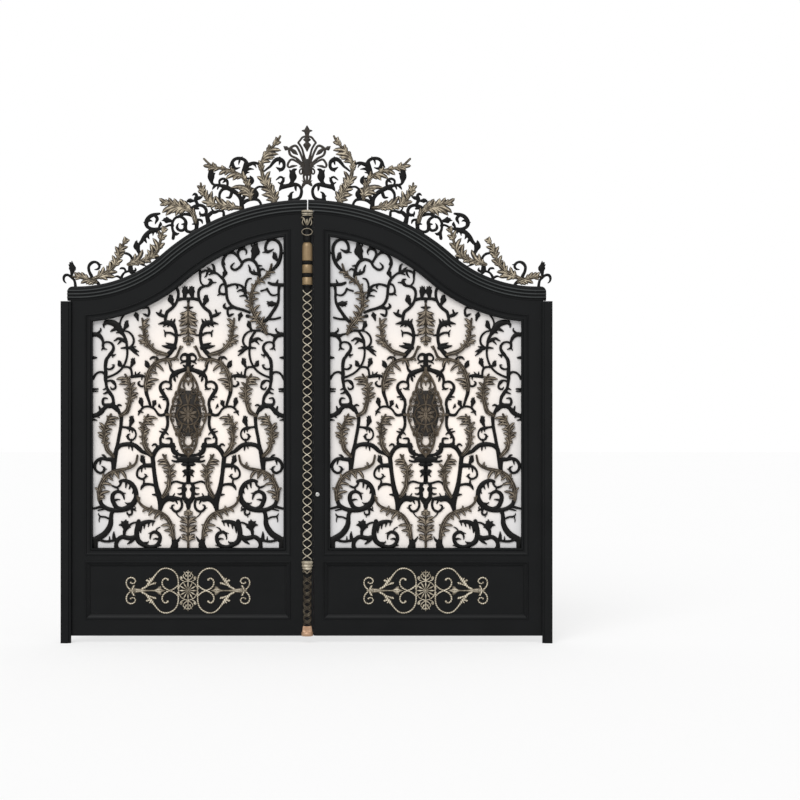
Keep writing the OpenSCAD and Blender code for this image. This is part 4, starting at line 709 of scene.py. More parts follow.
def acanthus(cast, rib, tips, at, base, look):
    run = spline(rib, leafCut["steps"], 2)
    way = headings(run)
    last = len(run) - 1
    tips = list(tips)
    for i in range(leafCut["every"], last - 1, leafCut["every"]):  # short lobes where the rib would stand bare
        for turn in (look["fillTurn"], -look["fillTurn"]):
            (u, z), (du, dz), c, s = run[i], way[i], math.cos(turn), math.sin(turn)
            long = look["fill"] * (1 - leafCut["fillFade"] * i / last)
            tip = [u + (du * c - dz * s) * long, z + (du * s + dz * c) * long]
            if min(gap(tip, q) for q in tips) > look["spare"]:
                tips.append(tip)
    for tip in tips:
        root = min(range(last + 1), key=lambda i: gap(run[i], tip))
        reach, back = gap(run[root], tip), 0.0
        while root > 0 and back < look["swept"] * reach:
            back += gap(run[root], run[root - 1])
            root -= 1
        (u, z), (du, dz) = run[root], way[root]
        size = gap(tip, run[root])
        wide = look["wide"] + look["grow"] * size
        for turn, share in ((look["fan"], look["short"]), (-look["fan"], look["short"]), (0.0, 1.0)):
            c, s = math.cos(turn), math.sin(turn)
            gu, gz = (tip[0] - u) * share, (tip[1] - z) * share
            end = (u + gu * c - gz * s, z + gu * s + gz * c)
            mid = (u + du * size * share * leafCut["bow"], z + dz * size * share * leafCut["bow"])
            slim = leafCut["slim"] + (1 - leafCut["slim"]) * share
            flat = leafCut["flat"] + (1 - leafCut["flat"]) * share
            finger = lobeTrack((u, z), mid, end, wide * slim)
            sweep(cast, finger, frondFinger, at, base, look["lobe"] * flat)
    ribTrack = []
    for i, (u, z) in enumerate(run):
        t = i / last
        foot = min(1.0, leafCut["ribFoot"] + leafCut["ribOpen"] * t)
        ribTrack.append([u, z, look["rib"] * (1 - leafCut["ribFade"] * t) * foot + leafCut["ribLeast"]])
    sweep(cast, nosed(ribTrack), flutedRib, at, base, look["ridge"])


# one finger bowed from root to tip, broadest past its middle
def lobeTrack(root, mid, tip, wide):
    track = []
    for i in range(leafCut["lobeSteps"] + 1):
        t = i / leafCut["lobeSteps"]
        a, b, c = (1 - t) ** 2, 2 * t * (1 - t), t * t
        swell = (0.4 + 1.2 * t - 0.6 * t * t) * math.sqrt(1 - t ** 4) + 0.12
        track.append([a * root[0] + b * mid[0] + c * tip[0], a * root[1] + b * mid[1] + c * tip[1], wide * swell])
    return track


# Leaves on the grille: the rib's points, then the lobes' tips; foot and drop stand on the axis
grilleLeaf = {
    "base": -9.0, "lobe": 10.0, "ridge": 15.0, "rib": 34.0, "wide": 11.0, "grow": 0.14, "swept": 0.75,
    "fan": 0.55, "short": 0.45, "fill": 40.0, "spare": 85.0, "fillTurn": 0.75,
    "broad": {"rib": 18.0, "wide": 16.0, "swept": 1.0, "fan": 0.34, "short": 0.8},
    "both": [
        ([583,930, 582,985, 568,1035, 540,1080, 500,1110, 450,1125, 400,1135, 365,1150, 342,1175, 332,1220],
        [540,955, 510,985, 495,1025, 490,1055, 450,1065, 405,1065, 612,1010, 560,1105, 385,1180]),
        ([95,680, 105,740, 125,790, 150,825, 190,850, 240,865, 290,885, 320,915, 332,955], [130,700, 160,730,
        180,760, 185,800, 225,800, 260,825, 240,895, 85,770, 300,850]),
        ([165,950, 130,1010, 125,1060, 120,1130, 145,1190, 165,1225], [85,1165, 75,1120, 80,1090, 165,1120,
        175,1140, 205,1180, 200,1160, 160,1045, 140,1228]),
        ([277,1650, 277,1690, 268,1730, 255,1770, 230,1808, 195,1835, 150,1848, 110,1848, 80,1865, 65,1895,
        50,1933], [240,1660, 215,1690, 190,1715, 200,1755, 160,1770, 110,1795, 290,1760, 215,1860, 60,1840]),
        ([240,1225, 270,1260, 285,1290, 292,1340, 295,1390, 290,1430, 262,1487], [290,1482, 200,1460, 230,1445,
        220,1420, 248,1392, 255,1370, 262,1335, 258,1300, 325,1440, 330,1400, 325,1345, 318,1300]),
        ([490,1215, 530,1260, 540,1300, 548,1350, 545,1400, 530,1440, 505,1490], [535,1482, 450,1460, 472,1443,
        468,1420, 495,1392, 505,1368, 515,1335, 508,1305, 582,1435, 585,1410, 595,1370, 590,1348, 570,1305]),
        ([445,1480, 405,1505, 390,1540, 380,1580, 375,1630, 380,1680, 395,1720, 412,1750], [472,1717, 445,1705,
        455,1685, 425,1655, 418,1630, 410,1595, 415,1563, 325,1628, 330,1605, 335,1665, 345,1700, 375,1742]),
        ([140,1880, 200,1895, 240,1920, 268,1955, 285,2000, 292,2050, 300,2115], [275,1925, 320,1950, 330,1970,
        330,2005, 325,2060, 225,1955, 245,1975, 255,2010, 260,2035, 250,2075, 265,2095, 250,2115]),
    ],
    "meet": [
        ([512,2015, 488,2065, 455,2105, 430,2150, 412,2200, 412,2260, 425,2310, 450,2350, 500,2388, 530,2425,
        545,2470], [520,2075, 500,2130, 478,2165, 470,2205, 460,2245, 470,2280, 370,2200, 365,2235, 380,2290,
        410,2345, 455,2395, 505,2345, 535,2385, 505,2430, 570,2415, 396,2122, 401,2094, 438,2052]),
    ],
    "axis": [
        ([0,610, 0,650, 0,700, 0,760, 0,810, 0,860], [46,704, 57,765, 55,818, 30,852, 12,868]),
        ([0,2215, 0,2190, 0,2130, 0,2080, 0,2030, 0,1980, 0,1945], [52,2118, 60,2066, 56,2012, 36,1964, 14,1942]),
    ],
}
for side, hand in leafBodies.items():
    cast = Casting()
    for flip in (1, -1):
        for rib, tips in grilleLeaf["both"] + (grilleLeaf["meet"] if flip > 0 else []):
            acanthus(cast, rib, points(tips, 2), leafSide(side, flip), grilleLeaf["base"], grilleLeaf)
    for rib, tips in grilleLeaf["axis"]:
        pairs = points(tips, 2) + [[-u, z] for u, z in points(tips, 2)]
        acanthus(cast, rib, pairs, leafSide(side), grilleLeaf["base"], {**grilleLeaf, **grilleLeaf["broad"]})
    cast.piece(hand + "_acanthus", grilleBronze, hand + "_leaf", [hand + "_grille_leaves"])


# a curl about (u, z) that winds in by turn degrees to shrink times its radius
def curl(u, z, r, wide, start, turn, shrink, n=22, slim=0.35):
    track = []
    for i in range(n + 1):
        t = i / n
        a = math.radians(start + turn * t)
        size = r * (1 - (1 - shrink) * t)
        track.append([u + size * math.cos(a), z + size * math.sin(a), wide * (1 - slim * t)])
    return track


# Medallion: pierced filigree of strokes and curls over a dark plate, half given and mirrored about the axis
medallion = {
    "base": -9.0, "height": 13.0, "bold": 1.4, "midZ": 1487,
    "strokes": [
        [6,1772,7, 30,1738,10, 48,1705,11, 60,1672,11, 66,1648,9],
        [60,1620,8, 84,1608,11, 99,1582,11, 100,1557,10, 90,1542,9, 80,1548,6],
        [106,1546,8, 114,1515,9, 116,1487,9, 113,1458,9, 104,1430,8],
        [100,1422,8, 90,1396,10, 76,1374,11, 60,1362,8], [62,1344,8, 54,1305,11, 42,1268,11, 26,1240,9, 6,1222,7],
        [0,1700,9, 14,1712,10, 22,1730,9, 10,1752,8, 0,1762,8], [20,1658,6, 31,1674,9, 28,1697,9, 12,1709,9],
        [20,1332,6, 29,1318,9, 25,1296,9, 10,1284,9, 0,1280,9],
        [0,1264,9, 16,1264,10, 23,1250,9, 12,1236,8, 0,1230,8], [140,1487,13, 112,1487,11],
        [11,1618,7, 8,1588,10, 0,1558,10], [56,1612,7, 50,1585,10, 42,1562,10, 54,1546,7],
        [11,1372,7, 8,1395,10, 0,1416,10], [56,1370,7, 48,1395,10, 40,1418,9, 52,1432,7],
        [64,1640,9, 78,1634,12, 86,1618,8], [66,1352,9, 76,1352,10, 82,1366,8], [0,1680,6, 0,1700,10],
        [0,1790,16, 0,1768,14], [0,1214,12, 0,1232,10], [0,1487,26, 0,1489,26], [4,1500,8, 20,1516,17, 28,1536,6],
        [10,1492,8, 36,1500,17, 56,1508,6], [10,1482,8, 36,1474,17, 56,1466,6], [4,1474,8, 20,1458,17, 28,1438,6],
        [0,1498,8, 0,1525,17, 0,1548,6], [0,1476,8, 0,1449,17, 0,1426,6],
    ],
    "curls": [
        (37, 1635, 24, 10, -40, 560, 0.25), (35, 1353, 22, 10, 40, -560, 0.25), (94, 1487, 19, 9, 180, 480, 0.3),
        (84, 1578, 15, 7, 90, 420, 0.35), (80, 1402, 14, 7, -90, -420, 0.35), (19, 1603, 12, 8, 90, 400, 0.3),
        (56, 1655, 11, 8, 0, 400, 0.3), (27, 1706, 12, 8, 0, 400, 0.3), (12, 1738, 10, 8, 90, 400, 0.3),
        (101, 1522, 11, 8, 0, 400, 0.3), (101, 1452, 11, 8, 0, -400, 0.3), (62, 1590, 12, 8, 90, 400, 0.3),
        (60, 1388, 12, 8, -90, -400, 0.3), (18, 1384, 12, 8, 0, 400, 0.3), (26, 1288, 12, 8, 0, -400, 0.3),
        (11, 1252, 10, 8, 0, 400, 0.3), (47, 1318, 11, 8, 0, -400, 0.3), (62, 1546, 11, 8, 0, 400, 0.3),
        (62, 1428, 11, 8, 0, -400, 0.3), (42, 1487, 13, 8, 0, 400, 0.3), (24, 1522, 12, 8, 0, 400, 0.3),
        (24, 1452, 12, 8, 0, 400, 0.3),
    ],
    "oval": (72, 66, 11), "ovalProud": 1, "plateHeight": 6.0,
    "plate": [
        0,1345,50, 0,1372,90, 0,1410,134, 0,1450,164, 0,1487,172, 0,1525,166, 0,1570,140, 0,1615,106, 0,1645,58,
    ],
}
for side, hand in leafBodies.items():
    cast = Casting()
    base, height = medallion["base"], medallion["height"]
    for flip in (1, -1):
        at = leafSide(side, flip)
        for row in medallion["strokes"]:
            track = nosed([[u, z, w * medallion["bold"]] for u, z, w in spline(row, 4)])
            sweep(cast, track, ridgedRib, at, base, height)
        for row in medallion["curls"]:
            sweep(cast, nosed(curl(*row)), ridgedRib, at, base, height)
        a, b, wide = medallion["oval"]
        oval = [[a * math.sin(math.radians(t)), medallion["midZ"] + b * math.cos(math.radians(t)), wide]
                for t in range(0, 181, 9)]
        sweep(cast, oval, ridgedRib, at, base, height + medallion["ovalProud"])
    sweep(cast, spline(medallion["plate"], 4), shallowDome, leafSide(side), base, medallion["plateHeight"])
    cast.piece(hand + "_filigree", medalBronze, hand + "_leaf", [hand + "_medallion"])

# Kick ornament: twisted rope strokes, a quarter given and mirrored both ways; z from its middle line
kickRope = {
    "base": -16.0, "height": 7.5, "mid": 338.5, "lay": 15.0, "pace": 3.6, "axisProud": 2, "hoopProud": 1,
    "quarter": [
        [300,12,14, 275,24,16, 258,44,20, 240,67,24, 222,90,14, 200,118,11, 175,139,11, 145,146,11, 115,140,11,
        90,124,11, 72,100,11, 64,70,11, 63,42,11, 65,12,11],
        [66,-34,10, 90,-13,11, 118,0,11, 145,12,12, 163,30,12, 169,54,12, 160,74,12, 143,80,11, 130,70,9],
        [300,10,12, 262,32,9, 240,40,10, 222,48,16, 212,50,12], [250,60,12, 264,66,14, 272,66,8],
        [244,70,10, 250,80,10], [365,8,14, 356,26,14, 350,32,8],
        [378,8,11, 396,27,11, 403,52,11, 395,75,11, 375,85,11, 355,80,11, 343,64,10, 350,50,10, 363,46,9, 375,52,6],
    ],
    "axis": [
        [150,0,5, 170,0,20, 186,0,56, 204,0,26, 222,0,11, 260,0,10, 290,0,16, 318,0,25, 340,0,30, 352,0,34,
        366,0,20, 382,0,9], [188,0,20, 180,20,12, 178,28,5], [188,0,20, 180,-20,12, 178,-28,5],
    ],
    "knobs": [(217, 48, 9), (266, 66, 9), (163, 0, 8), (350, 0, 15), (0, 0, 11), (42, 82, 8), (14, 96, 6),
              (133, 72, 9), (374, 52, 7)],
    "knobHeight": 0.9, "knobTurns": (0, 20, 42, 64, 82), "knobLift": 0.3, "wheel": (62, 8.5), "spokes": 12,
    "spoke": ((8, 5), (22, 5), (38, 13), (48, 9), (60, 4)),
    "crest": [
        [0,62,12, 0,92,9, 0,118,8, 0,132,4], [0,112,7, 10,121,8, 17,116,4],
        [4,68,8, 22,80,8, 32,96,7, 24,108,7, 12,104,5], [30,64,8, 46,72,8, 52,86,7, 42,92,5],
        [6,92,6, 20,112,8, 26,122,4],
    ],
}


# splits a track into steps of about one length, so that the rope's lay shows
def paced(track, step):
    out = [track[0]]
    for a, b in zip(track, track[1:]):
        parts = max(1, round(gap(b, a) / step))
        out += [[p + (q - p) * i / parts for p, q in zip(a, b)] for i in range(1, parts + 1)]
    return out


def boss(cast, u, z, r, at, base, height):
    rings, lifts, low, n = [], [], kickRope["knobLift"], 16
    for t in kickRope["knobTurns"]:
        c, s = math.cos(math.radians(t)), math.sin(math.radians(t))
        rings.append([at(u + r * c * across, base - height * s, z + r * c * up) for across, up in circle(n)])
        lifts.append([low + (1 - low) * s] * n)
    cast.loft(rings, lifts)


for side, hand in leafBodies.items():
    cast = Casting()
    base, height = kickRope["base"], kickRope["height"]

    def onKick(flip, turn=1):
        flat = leafSide(side, flip)
        return lambda u, y, z: flat(u, y, kickRope["mid"] + turn * z)

    for flip in (1, -1):
        for turn in (1, -1):
            at = onKick(flip, turn)
            for row in kickRope["quarter"]:
                track = paced(nosed(spline(row, 4)), kickRope["pace"])
                sweep(cast, track, domedRope, at, base, height, kickRope["lay"])
            for u, z, r in kickRope["knobs"]:
                boss(cast, u, z, r, at, base, r * kickRope["knobHeight"])
            for row in kickRope["crest"]:
                sweep(cast, nosed(spline(row, 4)), domedRope, at, base, height)
        for row in kickRope["axis"]:
            sweep(cast, nosed(spline(row, 5)), ridgedRib, onKick(flip), base, height + kickRope["axisProud"])
    r, wide = kickRope["wheel"]
    hoop = ovalTrack(r, r, 0, wide, range(0, 361, 5))
    sweep(cast, hoop, domedRope, onKick(1), base, height + kickRope["hoopProud"], kickRope["lay"])
    for i in range(kickRope["spokes"]):
        a = 2 * math.pi * i / kickRope["spokes"]
        spoke = [v for q, w in kickRope["spoke"] for v in (q * math.cos(a), q * math.sin(a), w)]
        sweep(cast, spline(spoke, 3), domedRope, onKick(1), base, height)
    cast.piece(hand + "_rope_ornament", ropeGold, hand + "_leaf", [hand + "_kick_ornament"])

# Crown: strokes and leaves worked on both faces; x from the gate's middle
crownWork = {
    "half": 7.0, "leafBase": -2.0, "bold": 1.18, "added": 1,
    "vines": [
        [88,2944,5, 100,2938,12, 108,2922,20, 110,2900,22, 112,2880,24], [108,2918,14, 123,2917,8],
        [112,2890,20, 75,2893,18, 48,2908,18, 37,2935,17, 38,2962,16, 52,2985,16, 75,2993,20, 100,2990,24,
        135,2982,24, 165,2975,26, 180,2955,10], [75,2992,16, 75,2968,14, 72,2952,6],
        [165,2975,24, 165,3000,18, 155,3020,16, 158,3035,12, 175,3042,12, 190,3032,10, 202,3022,5],
        [158,3025,12, 146,3037,5], [168,2995,14, 188,3006,6],
        [110,2990,24, 98,3012,22, 92,3040,42, 94,3065,34, 86,3085,22, 72,3092,10],
        [98,3060,20, 107,3076,14, 113,3087,7],
        [282,3078,9, 262,3095,12, 240,3112,14, 225,3132,18, 205,3153,22, 180,3158,24, 158,3145,22, 150,3125,18,
        154,3102,18, 170,3090,20, 185,3095,16, 201,3105,5], [175,3155,18, 180,3132,10, 182,3122,5],
        [178,3160,12, 178,3174,5], [172,3090,14, 180,3077,6],
        [425,2820,30, 430,2880,22, 440,2910,22, 460,2935,24, 485,2952,26, 515,2968,26, 540,2978,26, 565,2985,18,
        595,2988,16, 610,2975,14, 618,2962,6], [578,2985,14, 586,2963,7],
        [525,2970,24, 550,2962,18, 568,2940,16, 573,2915,14, 566,2885,14],
        [490,2952,20, 497,2925,18, 507,2908,16, 528,2908,7],
        [530,2972,18, 520,2995,14, 525,3018,16, 545,3030,14, 565,3025,14, 574,3010,12, 568,2985,12],
        [532,3020,16, 545,3010,10, 552,3003,4],
        [595,2988,14, 615,2995,14, 625,3012,20, 628,3040,38, 628,3068,32, 630,3102,18], [620,3050,24, 604,3066,8],
        [400,2985,14, 375,2992,12, 360,3010,22, 360,3030,18, 372,3047,7], [362,3028,18, 385,3032,12, 396,3032,5],
        [300,2850,16, 305,2872,14, 320,2890,16, 345,2897,18, 380,2892,18, 405,2882,20, 428,2862,20],
        [350,2895,14, 335,2925,34, 342,2952,22, 360,2968,10, 380,2972,12],
        [262,2980,12, 290,2977,12, 318,2977,12, 342,2960,14], [428,2895,20, 415,2908,20, 410,2925,14, 432,2928,6],
        [430,3050,14, 415,3065,30, 405,3090,34, 398,3120,32, 402,3145,20, 422,3160,18, 450,3164,18, 475,3156,18,
        490,3137,18, 498,3120,14, 509,3105,6], [488,3135,16, 482,3112,18, 468,3097,16, 440,3103,5],
        [438,3160,14, 444,3140,10, 447,3124,4], [425,3160,12, 424,3174,5],
        [398,3118,26, 375,3125,22, 350,3133,18, 325,3130,14, 305,3112,14], [352,3130,16, 338,3115,9, 333,3103,4],
        [400,3088,20, 375,3095,14, 350,3092,5], [410,3068,16, 380,3072,6],
        [764,2800,20, 757,2828,24, 735,2846,24, 705,2857,18, 675,2848,18, 660,2825,18, 662,2802,18, 680,2792,18,
        698,2797,14, 702,2814,6], [690,2794,14, 700,2782,5], [738,2842,22, 712,2835,12],
        [712,2858,16, 725,2880,18, 727,2900,22, 722,2920,16, 735,2930,16, 749,2922,5],
        [728,2898,20, 705,2905,20, 688,2912,10], [640,2720,30, 652,2775,24, 662,2805,18],
        [545,2790,16, 548,2816,14, 575,2820,14, 600,2812,18, 625,2808,22, 652,2780,22], [612,2815,14, 629,2842,5],
        [732,2760,18, 705,2762,14, 690,2755,14, 684,2738,6],
        [730,2640,24, 722,2720,22, 725,2745,30, 738,2775,24, 750,2800,18], [728,2737,18, 749,2733,7],
        [722,2712,14, 738,2692,14, 765,2682,16, 790,2692,18, 797,2720,22, 793,2745,20, 805,2768,16, 832,2783,16,
        858,2776,14, 874,2758,14, 882,2735,16, 880,2700,14, 872,2675,18, 876,2640,18],
        [740,2785,20, 775,2797,18, 810,2797,16, 845,2780,16], [795,2735,18, 819,2732,7],
        [797,2708,18, 815,2692,16, 838,2695,16, 850,2710,16, 847,2728,10, 840,2738,4],
        [872,2678,18, 855,2668,18, 839,2673,6], [880,2724,18, 900,2727,12, 925,2716,12, 942,2708,12],
        [965,2802,12, 1000,2795,20, 1025,2785,22, 1045,2765,22, 1052,2740,24, 1045,2718,20, 1025,2705,18,
        1000,2700,18, 975,2702,18, 950,2703,14, 930,2706,12],
        [1000,2793,18, 985,2780,18, 980,2765,18, 988,2748,12, 993,2735,5],
        [1045,2755,20, 1025,2757,12, 1013,2752,4], [1052,2742,14, 1069,2745,4],
        [975,2698,24, 1010,2690,28, 1035,2680,24, 1055,2660,26, 1070,2640,24, 1082,2620,20, 1100,2600,16],
        [985,2690,14, 982,2670,4], [1005,2685,16, 1008,2660,5], [1045,2668,24, 1040,2650,14, 1033,2638,6],
        [1068,2642,20, 1057,2625,14, 1050,2612,6], [970,2700,14, 965,2720,14, 958,2733,18, 960,2747,5],
        [975,2480,24, 985,2515,16, 1000,2530,14, 1020,2520,12],
        [1148,2420,24, 1150,2460,16, 1146,2505,14, 1156,2527,14, 1178,2541,14, 1215,2545,10],
        [1100,2478,10, 1075,2466,9, 1048,2458,6],
        [1225,2340,20, 1215,2378,16, 1210,2395,14, 1195,2415,12, 1170,2425,12, 1145,2420,14, 1122,2432,14,
        1125,2447,5], [1165,2425,12, 1163,2455,12, 1155,2480,16],
        [1185,2420,12, 1195,2442,12, 1215,2445,12, 1224,2440,5], [1215,2378,14, 1240,2392,12, 1262,2388,5],
        [1340,2290,24, 1365,2345,18, 1400,2372,20, 1412,2398,18, 1425,2425,16, 1428,2455,16, 1412,2478,18,
        1388,2486,14, 1365,2475,14, 1358,2455,14, 1368,2440,12, 1388,2436,5], [1365,2470,12, 1343,2468,4],
        [1513,2305,18, 1520,2360,14, 1540,2384,14, 1562,2400,14, 1583,2398,16, 1592,2380,14, 1588,2360,10,
        1576,2348,5],
    ],
    "buds": [
        [1540,2395,1535,2445,40,1538,2492,1560,2468], [1092,2530,1115,2590,38,1113,2628,1128,2606],
        [880,2752,918,2760,36,950,2757,918,2782], [728,2885,765,2887,26,790,2878,778,2898],
    ],
    "leaves": [
        ([1380,2352, 1430,2372, 1480,2384, 1530,2390], [1475,2420, 1500,2420, 1480,2345, 1430,2335, 1520,2420]),
        ([1400,2375, 1340,2400, 1280,2440, 1240,2500, 1225,2560, 1190,2620, 1180,2637], [1330,2455, 1290,2490,
        1275,2530, 1255,2588, 1240,2420, 1255,2385, 1205,2500, 1195,2545, 1170,2585, 1225,2610]),
        ([1170,2470, 1140,2478, 1090,2487, 1040,2505, 1000,2532, 972,2570, 960,2620, 945,2675, 928,2712],
        [1120,2518, 1075,2567, 1030,2560, 1027,2605, 1010,2642, 1060,2470, 930,2610, 915,2660, 975,2690, 908,2700]),
        ([728,2745, 740,2790, 770,2828, 830,2848, 880,2860, 930,2870, 945,2875], [778,2852, 810,2887, 832,2898,
        870,2902, 905,2907, 918,2888, 800,2818, 860,2808, 885,2805, 925,2790, 948,2808, 740,2840]),
        ([430,2838, 500,2845, 570,2852, 630,2872, 665,2912, 688,2960, 695,3000], [520,2890, 565,2902, 595,2917,
        632,2917, 652,2957, 620,2952, 715,2950, 690,2880, 660,2850, 720,2985, 665,2990]),
        ([370,2895, 372,2935, 385,2985, 410,3030, 440,3055, 500,3082, 560,3097, 620,3112, 674,3160], [422,2958,
        452,2965, 497,2972, 487,3035, 532,3030, 577,3055, 500,3110, 560,3118, 617,3140, 650,3085, 680,3115]),
        ([205,2868, 215,2910, 245,2960, 275,3010, 292,3060, 296,3120, 280,3180, 240,3225, 200,3265, 176,3308],
        [185,2950, 218,2992, 302,2962, 298,2925, 255,2888, 240,3080, 238,3035, 328,3045, 322,3120, 318,3150,
        210,3172, 187,3190, 170,3215, 247,3257, 278,3212, 213,3287, 205,3305]),
    ],
    "look": {"lobe": 9.0, "ridge": 12.0, "rib": 34.0, "wide": 15.0, "grow": 0.15, "swept": 1.7,
             "fan": 0.22, "short": 0.62, "fill": 58.0, "spare": 40.0, "fillTurn": 0.5},
}
for side, hand in leafBodies.items():
    ahead = crownSide(side)
    behind = lambda x, y, z: ahead(x, -y, z)
    cast = Casting()
    rows = list(crownWork["vines"])
    for bud in crownWork["buds"]:
        rows += budStrokes(bud)
    for row in rows:
        track = [[x, z, w * crownWork["bold"] + crownWork["added"]] for x, z, w in spline(row, 4)]
        sweep(cast, nosed(track), roundStroke, ahead, 0.0, crownWork["half"])
    cast.piece(hand + "_crown_scrollwork", scrollPaint, hand + "_leaf", [hand + "_crown_scrolls"])
    cast = Casting()
    for rib, tips in crownWork["leaves"]:
        for at in (ahead, behind):
            acanthus(cast, rib, points(tips, 2), at, crownWork["leafBase"], crownWork["look"])
    cast.piece(hand + "_crown_acanthus", leafBronze, hand + "_leaf", [hand + "_crown_leaves"])

# Palmette over the column; body gives half widths and heights, solid down to where its eyes begin
palmTop = {
    "half": 7.0, "bold": 1.3, "solid": 3044.0, "stout": 1.1, "deep": 8, "collarProud": 2, "lift": 0.3,
    "petals": [
        [8,3140,14, 20,3180,12, 32,3225,11, 50,3256,11, 57,3266,11, 45,3282,11, 28,3302,11, 0,3308,12],
        [20,3135,14, 35,3175,12, 52,3215,12, 72,3245,13, 98,3240,13, 116,3222,13, 114,3195,13, 100,3178,12,
        70,3164,12, 40,3138,12, 22,3118,12],
        [24,3110,14, 55,3135,12, 85,3152,12, 105,3155,12, 120,3138,12, 127,3118,12, 118,3105,10, 95,3112,14,
        66,3116,5], [100,3230,10, 122,3228,12, 136,3230,24, 150,3240,8], [136,3226,16, 142,3218,6],
        [62,3188,6, 82,3205,22, 104,3222,14],
        [0,3212,8, 0,3230,22, 0,3252,40, 0,3270,18, 0,3285,40, 0,3300,20, 0,3320,22, 0,3345,30, 0,3372,10],
        [0,3342,14, 22,3344,12, 32,3344,6],
        [16,3096,14, 34,3096,11, 46,3088,9, 49,3074,9, 44,3062,8, 35,3063,9, 31,3071,7],
        [20,3106,14, 36,3110,9, 48,3106,5],
    ],
    "body": [0,2978, 24,2982, 30,2998, 22,3012, 30,3030, 26,3060, 30,3090, 26,3120, 22,3150, 0,3160],
    "link": [10,3004,20, 24,2986,16, 34,2970,15, 40,2958,13],
    "collars": [
        [0,3062,12, 32,3064,10], [0,3118,10, 30,3122,10], [20,3066,16, 22,3040,15, 14,3012,18],
        [0,3064,16, 0,3006,15], [0,3010,30, 14,3004,28, 28,2988,16], [24,3012,8, 33,3018,5],
        [4,3130,8, 26,3100,8, 34,3070,6], [24,3140,8, 8,3104,8, 14,3070,6],
    ],
}
cast = Casting()
for flip in (1, -1):
    for row in palmTop["petals"]:
        track = nosed([[x, z, w * palmTop["bold"]] for x, z, w in spline(row, 5)])
        sweep(cast, track, roundStroke, crownSide(flip), 0.0, palmTop["half"])
rings = []
for half, z in spline(palmTop["body"], 3, 2):
    if z >= palmTop["solid"]:
        half = max(half, 1.0) * palmTop["stout"]
        rings.append([(half * across, palmTop["deep"] * out, z) for across, out in circle(16)])
cast.loft(rings, palmTop["lift"])
for flip in (1, -1):
    for row in palmTop["collars"]:
        high = palmTop["half"] + palmTop["collarProud"]
        sweep(cast, nosed(spline(row, 4)), roundStroke, crownSide(flip), 0.0, high)
# only the left leaf carries it
sweep(cast, nosed(spline(palmTop["link"], 4)), roundStroke, crownSide(-1), 0.0, palmTop["half"])
cast.piece("crown_palmette", palmBronze, "left_leaf", ["palmette"])

# Column on the meeting stile: half-turned parts given as (z, radius), crossed ropes round the shaft
column = {
    "x": 3.0, "y": -30.0, "core": 24.0, "coreDrop": 5, "lift": 0.9,
    "lattice": {"low": 540.0, "high": 2318.0, "pitch": 55.0, "at": 28.5, "under": 1.5, "reach": 86, "rope": 2.8},
    "mesh": {"low": 108.0, "pitch": 46.0, "turns": 7, "at": 25.5, "apart": 1.2, "reach": 84, "rope": 2.0,
             "lift": 0.75},
    "shaft": [(110, 24), (478, 24)], "flutes": (22, 3.0, 66),
    "face": -50.0, "carved": 9.0, "oval": (34, 22, 2678, 6), "ovalBack": 2, "ovalHigh": 4.0,
    "leafwork": [
        [0,2722,6, 0,2742,15, 0,2764,17, 0,2778,8], [4,2724,5, 13,2742,11, 19,2762,12, 27,2772,6],
        [22,2722,6, 29,2732,8, 30,2745,7, 26,2758,6, 28,2770,6, 34,2775,6, 38,2768,4], [0,452,5, 8,462,9, 18,470,8],
    ],
    "volute": (21, 466, 8, 5, 100, -400, 0.3), "voluteBack": 6, "voluteHigh": 13.0,
    "foot": [(45, 37), (47, 38.5), (66, 38.5), (70, 36), (73, 33), (90, 31), (104, 29), (110, 27)],
    "collar": [(476, 25), (482, 31), (488, 31), (492, 28), (497, 34), (503, 36), (509, 34), (512, 30), (516, 35),
               (524, 38), (530, 35), (535, 27)],
    "sleeves": [[(2333, 28), (2336, 32.5), (2380, 32.5), (2383, 30)],
                [(2410, 30), (2413, 32.5), (2462, 32.5), (2465, 30)],
                [(2490, 30), (2493, 33), (2580, 33), (2596, 31), (2606, 26), (2611, 18)]],
    "rings": [[(2318, 24), (2322, 30), (2328, 30), (2333, 26)],
              [(2383, 29), (2388, 34), (2398, 35), (2406, 34), (2410, 29)],
              [(2465, 29), (2470, 34), (2478, 35), (2486, 34), (2490, 29)]],
    "neck": [(2600, 20), (2620, 22), (2628, 26), (2636, 24), (2650, 26), (2656, 22), (2700, 22), (2716, 26),
             (2724, 24)],
    "bell": [(2720, 22), (2736, 23), (2756, 27), (2772, 33), (2778, 34), (2780, 29), (2818, 29)],
    "crest": [[(2783, 28), (2784, 34), (2789, 34), (2790, 28)], [(2793, 28), (2794, 36), (2800, 36), (2801, 28)],
              [(2806, 28), (2807, 38), (2812, 39), (2818, 39), (2819, 37)]],
}


def halfTurned(cast, profile, flutes=0, deep=0.0, n=24):
    rings = []
    for z, r in profile:
        ring = []
        for i in range(n + 1):
            a = math.pi * i / n
            rr = r - deep * (0.5 + 0.5 * math.cos(flutes * a)) if flutes else r
            ring.append((column["x"] - rr * math.cos(a), column["y"] - rr * math.sin(a), z))
        rings.append(ring)
    cast.loft(rings, column["lift"])


# a half turn round the shaft at place pitches above low, leaning to one hand
def ropeTurn(work, place, hand, r, n=12):
    path = []
    for i in range(n + 1):
        a = math.radians(-work["reach"] + 2 * work["reach"] * i / n)
        z = work["low"] + work["pitch"] * (place + hand * a / math.pi)
        path.append((column["x"] + r * math.sin(a), column["y"] - r * math.cos(a), z))
    return path


def unit(v):
    size = math.sqrt(sum(q * q for q in v)) or 1.0
    return [q / size for q in v]


